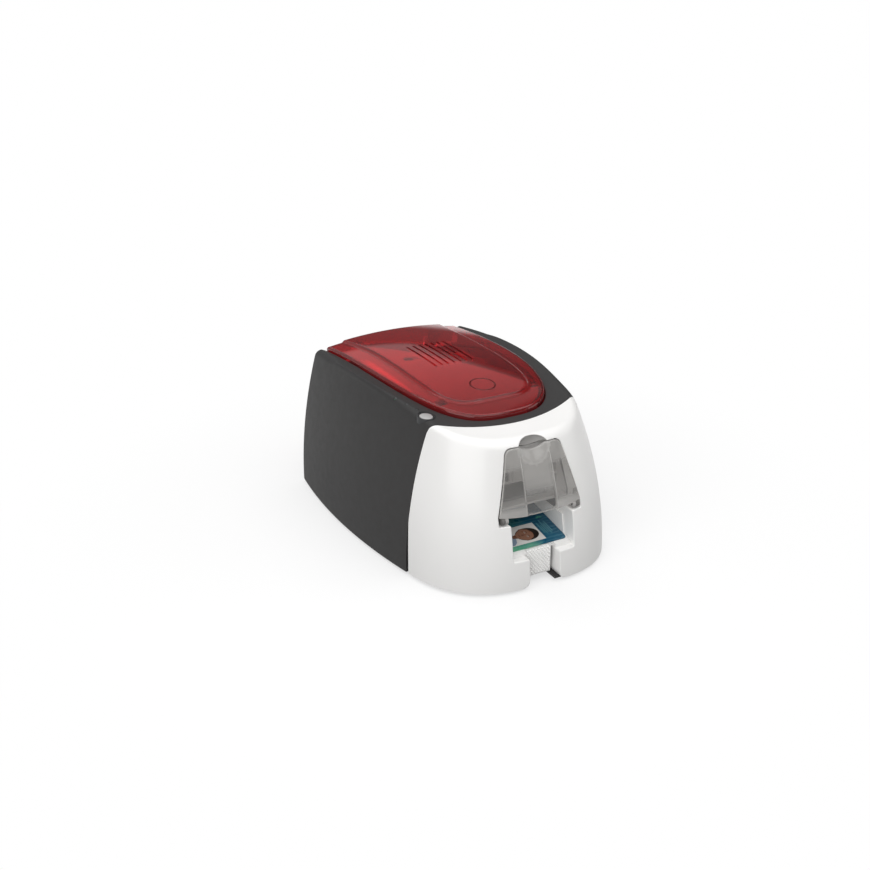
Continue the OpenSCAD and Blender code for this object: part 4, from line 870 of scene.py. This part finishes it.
# Painted light on the lid: a milky share lays a painted reflection along the plateau's step and the rim,
# weaker on the right, and painted shade in milky dark red over the rear skirt and the rear right part
pts = points_of(lid)[:, :2]
step = 1.5 - distance(pts, plateau_line(STEP_W / 2), False) / (STEP_W / 2)
rim = np.clip(1.4 - distance(pts, LID_LINE) / 2.2, 0, 1) * np.where(pts[:, 0] > 30, 0.25, 0.5)
skirt_shade = pts[:, 1] > REAR_Y - EDGE_R - 0.5
# Painted shade over the rear right part of the lid, behind a slanting line and short of the right edge
corner = np.clip((pts.sum(axis=1) - 74) / 14, 0, 1) * np.clip((54 - pts[:, 0]) / 8, 0, 1)
set_painted_light_haze(lid, 0.55 * np.clip(step, 0, 1), rim, 0.5 * skirt_shade, 0.5 * corner)
place(lid, "lid", "red_lid", "lid_shell")

# ---- feeder cover ----

# A recessed band runs down the middle with a rib along each side, under a finger dish
BAND_HALF, BAND_DEEP, RIB_OUT, RIB_HALF, RIB_PROUD = 12.9, 0.9, 0.6, 0.5, 0.4
DISH_R, DISH_DEEP = 14, 4
FOOT_BOW = 2.4


def band_half(z):
    """Half the band's width at height z."""
    return BAND_HALF + 0.9 * (COVER_HIGH - z) / 50


def cover_height(p):
    """Place in Y of the cover's front face."""
    p = np.array(p, float).reshape(-1, 2)
    x, z = p[:, 0], p[:, 1]
    y = np.array([front_face(a, b) for a, b in p]) - 0.6
    r = np.hypot(x, z - COVER_HIGH) / DISH_R
    dish = np.where(r < 1, DISH_DEEP * (1 - r * r), 0)
    within = band_half(z) - np.abs(x)
    rib = RIB_PROUD * np.clip(1 - ((within + RIB_OUT) / RIB_HALF) ** 2, 0, 1) * (r > 1)
    return y + np.maximum(dish, BAND_DEEP * ramp(within, 0, 0.5)) - rib


half = rounded([(COVER_FOOT, COVER_LOW), (COVER_TOP + 0.16, COVER_HIGH), (DIP_HALF, COVER_HIGH)],
               [0, 6, 0], 7)
half += dip_line(COVER_HIGH, DIP)[1:]
foot_edge = [(x, COVER_LOW - FOOT_BOW * (1 - (x / COVER_FOOT) ** 2))
             for x in np.linspace(-COVER_FOOT, COVER_FOOT, 31)[1:-1]]
COVER_LINE = dense(half + [(-x, z) for x, z in half[-2::-1]] + foot_edge, 2)


def cover_ring(grow, deep):
    """A ring of the cover's edge, so much behind the face."""
    line = offset(COVER_LINE, grow)
    y = cover_height(line)
    return line, lambda i, p: y[i] + deep


cover_lines = []
for k in (1.1, 0.85, 0.6, 0.35, 0.1, 0, -0.125, -0.25, -0.375, -0.5):
    for side_x in (1, -1):
        cover_lines.append([(side_x * (band_half(z) + k), z) for z in np.linspace(66, 108, 24)])
cover_lines.append([(DISH_R * math.cos(a), COVER_HIGH + DISH_R * math.sin(a))
                    for a in np.linspace(math.radians(-172), math.radians(-8), 40)])
rings = [(offset(COVER_LINE, -0.5), None), cover_ring(-0.15, 0.15), cover_ring(0, 0.5),
         cover_ring(0, 1.7), (offset(COVER_LINE, -0.4), None)]
cover = plate("cover", rings, [], cover_lines, 2, cover_height, lambda p: cover_height(p) + 2.2,
              lambda x, z, y: (x, float(y), z))
smooth(paint(cover, "smoky_cover"), 33)

# Painted light on the cover: a milky share stands in for the reflection of the surroundings, so the
# middle band clears toward its foot, and the edges, the ribs and the dish's rim stay pale as painted
# highlights
pts = points_of(cover)
x, z = np.abs(pts[:, 0]), pts[:, 2]
within = band_half(z) - x
middle = 0.06 + 0.52 * ramp(z, 74, 88)
flank = 0.18 + 0.34 * ramp(z, 97, 104) + 0.40 * ramp(-z, -74, -68)
edge = 1 - distance(pts[:, [0, 2]], COVER_LINE) / 0.7
rib = (1 - np.abs(within + RIB_OUT) / RIB_HALF) * (z < 106)
dish = 1 - np.abs(np.hypot(x, z - COVER_HIGH) - DISH_R) / 0.8
set_painted_light_haze(cover, flank + (middle - flank) * ramp(within, -0.5, 1), 0.8 * edge, 0.75 * rib, 0.9 * dish)
place(cover, "front_cover", "smoky_cover", "feeder_cover")

# ---- grip panel ----

# Its left, right, foot and top, its front and rear, and how far the knurl stands proud
GRIP, GRIP_FRONT, GRIP_REAR, KNURL = (-13.7, 11.0, 6.5, 31.1), -129, -127, 0.95
cols, rows = 9, 7
cell_w, cell_h = (GRIP[1] - GRIP[0]) / cols, (GRIP[3] - GRIP[2]) / rows
verts, faces, known = [], [], {}


def grip_point(i, j):
    """A point of the knurl; i and j count half cells, odd sums stand proud inside the rim."""
    if (i, j) not in known:
        rim = i in (0, 2 * cols) or j in (0, 2 * rows)
        proud = KNURL if (i + j) % 2 and not rim else 0
        known[i, j] = len(verts)
        verts.append((GRIP[0] + i * cell_w / 2, GRIP_FRONT - proud, GRIP[2] + j * cell_h / 2))
    return known[i, j]


around = [(0, 0), (1, 0), (2, 0), (2, 1), (2, 2), (1, 2), (0, 2), (0, 1)]
for i in range(0, 2 * cols, 2):
    for j in range(0, 2 * rows, 2):
        for (a, b), (c, d) in zip(around, around[1:] + around[:1]):
            faces.append((grip_point(i + 1, j + 1), grip_point(i + a, j + b), grip_point(i + c, j + d)))
edge = [(i, 0) for i in range(2 * cols)] + [(2 * cols, j) for j in range(2 * rows)]
edge += [(i, 2 * rows) for i in range(2 * cols, 0, -1)] + [(0, j) for j in range(2 * rows, 0, -1)]
front_ids = [grip_point(*e) for e in edge]
base = len(verts)
verts += [(verts[i][0], GRIP_REAR, verts[i][2]) for i in front_ids]
count = len(front_ids)
faces += [(front_ids[k], base + k, base + (k + 1) % count, front_ids[(k + 1) % count])
          for k in range(count)]
faces.append([base + k for k in range(count)])
grip = make("grip", verts, faces)
place(smooth(paint(grip, "bezel_white"), 12), "body", "bezel_white", "grip_panel")

# ---- printed card ----

SLOPE = math.radians(9.5)
CARD_Y, CARD_Z, CARD_T = -128, 31.3 + 3 * math.tan(SLOPE) + 0.1, 0.76
CARD_HALF, CARD_LEN, CARD_R, CARD_EDGE = 27, 85.6, 3.2, 0.1


def on_card(x, v, h):
    """A point at width x, v behind the card's front edge and h above its face."""
    c, t = math.cos(SLOPE), math.sin(SLOPE)
    return x, CARD_Y + v * c - (CARD_T + h) * t, CARD_Z + v * t + (CARD_T + h) * c


def print_layer(name, outline, mat, high):
    """A patch of print that stands so high on the card, as a thin closed solid."""
    o = make(name, *loft([[on_card(x, v, h) for x, v in outline] for h in (-0.1, high)]))
    place(paint(o, mat), "body", "card_print")


def ellipse(cx, cy, rx, ry, n=36):
    return [(cx + rx * math.cos(math.radians(a)), cy + ry * math.sin(math.radians(a)))
            for a in np.linspace(0, 360, n)]


def patch(name, base, rough=0.22, vary=0.03, grain=(1500, 0.00001)):
    moulded(name, base, rough, vary, grain, coat=0.1, level=0.3)


def card_art():
    """Blue print with green toward the card's front left, and pale rings over both."""
    s = Shader("card_art")
    x, y, _ = s.node("SeparateXYZ", {0: s.coord}).outputs
    across = s.math("ADD", x, s.span(s.noise(34, 3, 0.5), -0.004, 0.004))
    blue = s.mix(s.span(s.noise(60, 4, 0.6), 0, 1), rgb(0.003, 0.060, 0.120), rgb(0.005, 0.095, 0.165))
    green = s.mix(s.span(s.noise(50, 3, 0.5), 0, 1), rgb(0.03, 0.27, 0.16), rgb(0.20, 0.52, 0.30))
    share = s.math("MULTIPLY", s.span(across, 1, 0, -0.016, 0.006),
                   s.span(y, 1.0, 0.35, -0.1285, -0.117))
    wave = s.node("TexWave", {"Vector": s.coord, "Scale": 90.0, "Distortion": 6.0, "Detail": 2.0},
                  wave_type="RINGS").outputs[1]
    art = s.mix(s.span(wave, 0, 0.10, 0.55, 1.0), s.mix(share, blue, green), rgb(0.35, 0.62, 0.66))
    b = s.node("BsdfPrincipled", {"Base Color": art, "Roughness": s.span(s.noise(200, 4), 0.26, 0.36),
                                  "Coat Weight": 0.1, "Specular IOR Level": 0.3})
    s.surface(b.outputs[0])


card_art()
edge = rounded([(-CARD_HALF, 0), (CARD_HALF, 0), (CARD_HALF, CARD_LEN), (-CARD_HALF, CARD_LEN)],
               [CARD_R] * 4, 8)
card = make("card", *loft([
    [on_card(x, v, h) for x, v in offset(edge, grow)]
    for grow, h in ((-CARD_EDGE, -CARD_T), (0, CARD_EDGE - CARD_T), (0, -CARD_EDGE), (-CARD_EDGE, 0))
]))
place(smooth(paint(card, "card_art"), 40), "body", "card_print", "printed_card")

patch("photo_paper", (0.66, 0.65, 0.63))
patch("skin", (0.25, 0.125, 0.08), 0.3, 0.05, (900, 0.00001))
patch("skin_shade", (0.15, 0.07, 0.045), 0.3, 0.05, (900, 0.00001))
patch("hair", (0.014, 0.010, 0.008), 0.4, 0.2, (2500, 0.00002))
patch("shirt", (0.20, 0.26, 0.34), 0.4, 0.1, (2500, 0.00002))
patch("print_white", (0.16, 0.38, 0.40))
patch("print_green", (0.10, 0.42, 0.30))

# Up on the portrait is +X; a head is 3 wide for 4 high, with the eyes halfway up
HX, HV, HH = -2.6, 15.8, 19.0
half_h, half_v = HH / 2, HH * 3 / 8
print_layer("photo_box", [(-21, 5), (10.4, 5), (10.4, 28.2), (-21, 28.2)], "photo_paper", 0.02)
print_layer("hair_back", ellipse(HX + 1.0, HV, half_h + 0.9, half_v + 0.9), "hair", 0.03)
shoulders = [(-20.6, 5.6), (-18.0, 6.0), (-15.2, 8.6), (-13.8, 12.2), (-13.4, HV), (-13.8, 19.4),
             (-15.2, 23.0), (-18.0, 25.6), (-20.6, 26.0)]
print_layer("shoulders", shoulders, "shirt", 0.035)
neck = [(-15.6, HV - 1.6), (-10, HV - 3.0), (-10, HV + 3.0), (-15.6, HV + 1.6)]
print_layer("neck", neck, "skin_shade", 0.04)
for k in (-1, 1):
    print_layer("ear", ellipse(HX - 1.6, HV + k * (half_v + 0.1), 2.0, 0.8, n=20), "skin_shade", 0.04)
# The crown is a little flat and the chin narrow
jaw = []
for a in np.linspace(0, 2 * math.pi, 48, endpoint=False):
    c = math.cos(a)
    high, wide = (0.92, 1) if c > 0 else (1, 1 - 0.16 * c * c)
    jaw.append((HX + half_h * c * high, HV + half_v * math.sin(a) * wide))
print_layer("face", jaw, "skin", 0.05)
cap = [(HX + (half_h + 0.9) * math.cos(a), HV + (half_v + 0.8) * math.sin(a))
       for a in np.linspace(-math.radians(84), math.radians(84), 30)]
cap += [(HX + 1.2, HV + half_v - 0.5), (HX + 4.0, HV + half_v - 1.6), (HX + 5.6, HV + 2.6),
        (HX + 6.2, HV - 0.4), (HX + 5.4, HV - 3.4), (HX + 3.8, HV - half_v + 1.4),
        (HX + 1.2, HV - half_v + 0.5)]
print_layer("fringe", cap, "hair", 0.06)
for k in (-1, 1):
    print_layer("eye", ellipse(HX, HV + k * HH * 0.135, 0.36, 1.15, n=20), "photo_paper", 0.055)
    print_layer("iris", ellipse(HX, HV + k * HH * 0.135, 0.36, 0.42, n=16), "hair", 0.06)
    v0, v1 = HV + k * HH * 0.07, HV + k * HH * 0.215
    brow = [(HX + 1.5, v0), (HX + 1.9, (v0 + v1) / 2), (HX + 1.5, v1), (HX + 1.3, v1),
            (HX + 1.5, (v0 + v1) / 2), (HX + 1.2, v0)]
    print_layer("brow", brow, "hair", 0.06)
    print_layer("nostril", ellipse(HX - HH * 0.225, HV + k * 0.75, 0.22, 0.34, n=12), "skin_shade", 0.06)
nose = [(HX - 0.6, HV - 0.35), (HX - HH * 0.205, HV - 0.95), (HX - HH * 0.235, HV),
        (HX - HH * 0.205, HV + 0.95), (HX - 0.6, HV - 0.1)]
print_layer("nose", nose, "skin_shade", 0.055)
mouth_x = HX - HH * 0.325
mouth = [(mouth_x, HV - 2.1), (mouth_x + 0.4, HV - 0.7), (mouth_x + 0.25, HV), (mouth_x + 0.4, HV + 0.7),
         (mouth_x, HV + 2.1), (mouth_x - 0.5, HV + 0.9), (mouth_x - 0.6, HV), (mouth_x - 0.5, HV - 0.9)]
print_layer("mouth", mouth, "skin_shade", 0.06)
# Plain bars where a card has its lines, and a leaf-like mark
for x, v0, v1 in [(20.2, 12, 27), (18.4, 10, 24), (16.6, 12, 29), (14.8, 10, 22), (13.0, 12, 26)]:
    print_layer("bar", [(x, v0), (x + 0.5, v0), (x + 0.5, v1), (x, v1)], "print_white", 0.02)
for k in range(5):
    a = math.radians(20 + 36 * k)
    c, t = math.cos(a), math.sin(a)
    leaf = [(r * c - w * t, r * t + w * c) for r, w in
            ((0.6, 0), (2.0, 0.55), (3.6, 0), (2.0, -0.55))]
    print_layer("leaf", [(19.5 + x, 31.5 + v) for x, v in leaf], "print_green", 0.02)

# ---- power button and status lights ----


def surface_at(x, y):
    """The point on the housing above (x, y) and its normal."""
    hit = HOUSING_TREE.ray_cast(Vector((x, y, 200)) / 1000, Vector((0, 0, -1)))
    return hit[0] * 1000, hit[1]


def turned(profile, at, normal, n):
    """Rings about the normal at a point, one for each (radius, height) pair of the profile."""
    up = normal.normalized()
    u = up.orthogonal().normalized()
    w = up.cross(u)
    turns = np.linspace(0, 2 * math.pi, n, endpoint=False)
    return [[tuple(at + up * h + (u * math.cos(a) + w * math.sin(a)) * r) for a in turns]
            for r, h in profile]


at, normal = surface_at(*BUTTON)
tilt = (normal + Vector((0, 0, 0.6))).normalized()
dome = [(5.6, -5.5), (5.6, -0.6), (5.45, -0.2), (5.1, 0.08), (4.3, 0.3), (3.2, 0.43), (1.8, 0.5),
        (0.5, 0.52)]
button = make("button", *loft(turned(dome, at, tilt, 48)))
place(smooth(paint(button, "button_silver"), 40), "button", "button_silver", "power_button")
collar = [(5.95, -5.2), (5.95, -0.35), (6.15, -0.05), (6.6, 0.05), (7.1, -0.12), (7.3, -0.5),
          (7.3, -5.2)]
n = 64
rings = turned(collar, at, tilt, n)
verts = [p for ring in rings for p in ring]
faces = []
for k in range(len(rings)):
    a, b = k * n, (k + 1) % len(rings) * n
    faces += [(a + i, a + (i + 1) % n, b + (i + 1) % n, b + i) for i in range(n)]
guide = make("guide", verts, faces)
place(smooth(paint(guide, "black_plastic"), 40), "body", "button_silver", "button_guide")
lens = Shader("status_lens")
colour = lens.mix(lens.span(lens.noise(400), 0, 1), rgb(0.030, 0.031, 0.033), rgb(0.045, 0.046, 0.048))
b = lens.node("BsdfPrincipled", {
    "Base Color": colour, "Roughness": lens.span(lens.noise(900), 0.3, 0.4), "Coat Weight": 0.2})
lens.surface(b.outputs[0])
bead = [(1.25, -2.5), (1.25, -0.2), (1.05, 0.05), (0.6, 0.16), (0.15, 0.2)]
for p in LIGHTS:
    o = make("status_light", *loft(turned(bead, *surface_at(*p), 20)))
    place(smooth(paint(o, "status_lens"), 40), "body", "button_silver")

# ---- floor and light ----


def floor_material():
    """A pale floor that keeps the soft shadow near the machine and runs into the white backdrop."""
    s = Shader("floor")
    path = s.node("LightPath").outputs
    pale = s.mix(s.span(s.noise(3, 3), 0, 1), rgb(0.27, 0.27, 0.27), rgb(0.29, 0.29, 0.29))
    tone = s.mix(path["Is Camera Ray"], pale, rgb(0.9, 0.9, 0.9))
    matt = s.node("BsdfDiffuse", {"Color": tone}).outputs[0]
    white = s.node("Emission", {"Color": rgb(1, 1, 1), "Strength": 1.0}).outputs[0]
    seen = s.math("MAXIMUM", path["Is Camera Ray"], path["Is Transmission Ray"])
    seen = s.math("MAXIMUM", seen, path["Is Glossy Ray"])
    far = s.node("VectorMath", {0: s.coord}, operation="LENGTH").outputs["Value"]
    share = s.span(far, 0.62, 1.0, 0.14, 0.42, "SMOOTHSTEP")
    s.surface(s.blend(s.math("MULTIPLY", seen, share), matt, white))


floor = make("floor", [(-6000, -6000, 0), (6000, -6000, 0), (6000, 6000, 0), (-6000, 6000, 0)],
             [(0, 1, 2, 3)])
floor_material()
paint(floor, "floor")

world = bpy.data.worlds.new("studio")
bpy.context.scene.world = world
sky = Shader(world=world)


def bearing(az, el):
    """The direction az degrees from +Y toward +X and el degrees up."""
    az, el = math.radians(az), math.radians(el)
    return Vector((math.sin(az) * math.cos(el), math.cos(az) * math.cos(el), math.sin(el)))


def beyond(a, b):
    """1 on the left of the great circle from bearing a to bearing b, 0 on its right."""
    n = bearing(*b).cross(bearing(*a)).normalized()
    d = sky.node("VectorMath", {0: sky.coord, 1: tuple(n)}, operation="DOT_PRODUCT").outputs["Value"]
    return sky.span(d, 0, 1, -0.012, 0.012, "SMOOTHSTEP")


# A white ceiling, dim walls, and one pale panel behind the machine that the lid reflects
PANEL = [(-14, 10), (24.7, 14.9), (39.5, 33), (42, 46), (-60, 46), (-60, 0)]
panel = beyond(PANEL[0], PANEL[1])
for a, b in zip(PANEL[1:], PANEL[2:] + PANEL[:1]):
    panel = sky.math("MULTIPLY", panel, beyond(a, b))
height = sky.node("SeparateXYZ", {0: sky.coord}).outputs[2]
level = sky.span(height, 0.11, 1.5, 0.70, 0.80, "SMOOTHSTEP")
light = sky.math("ADD", level, sky.math("MULTIPLY", panel, 0.36))
lit = sky.node("Background", {"Color": rgb(1, 1, 1), "Strength": light})
white = sky.node("Background", {"Color": rgb(1, 1, 1), "Strength": 1.0})
# The white backdrop shows to the camera and through glass, and low down in reflections too
path = sky.node("LightPath").outputs
low = sky.span(height, 1, 0, 0.0, 0.1, "SMOOTHSTEP")
direct = sky.math("MAXIMUM", path["Is Camera Ray"], path["Is Transmission Ray"])
seen = sky.math("MAXIMUM", direct, sky.math("MULTIPLY", path["Is Glossy Ray"], low))
sky.surface(sky.blend(seen, lit.outputs[0], white.outputs[0]))


def softbox(name, at, size, watts):
    """An area light aimed at the machine's middle."""
    light = bpy.data.lights.new(name, "AREA")
    light.shape = "RECTANGLE"
    light.size, light.size_y = size
    light.energy = watts
    o = bpy.data.objects.new(name, light)
    bpy.context.scene.collection.objects.link(o)
    o.location = at
    o.rotation_mode = "QUATERNION"
    o.rotation_quaternion = (Vector((0, 0, 0.08)) - Vector(at)).to_track_quat("-Z", "Y")


softbox("key", (-1.45, -1.2, 0.9), (2.2, 1.7), 25)
softbox("fill", (1.7, -0.9, 0.7), (1.0, 1.0), 4)
softbox("front", (0.3, -1.5, 1.8), (1.6, 1.2), 7)
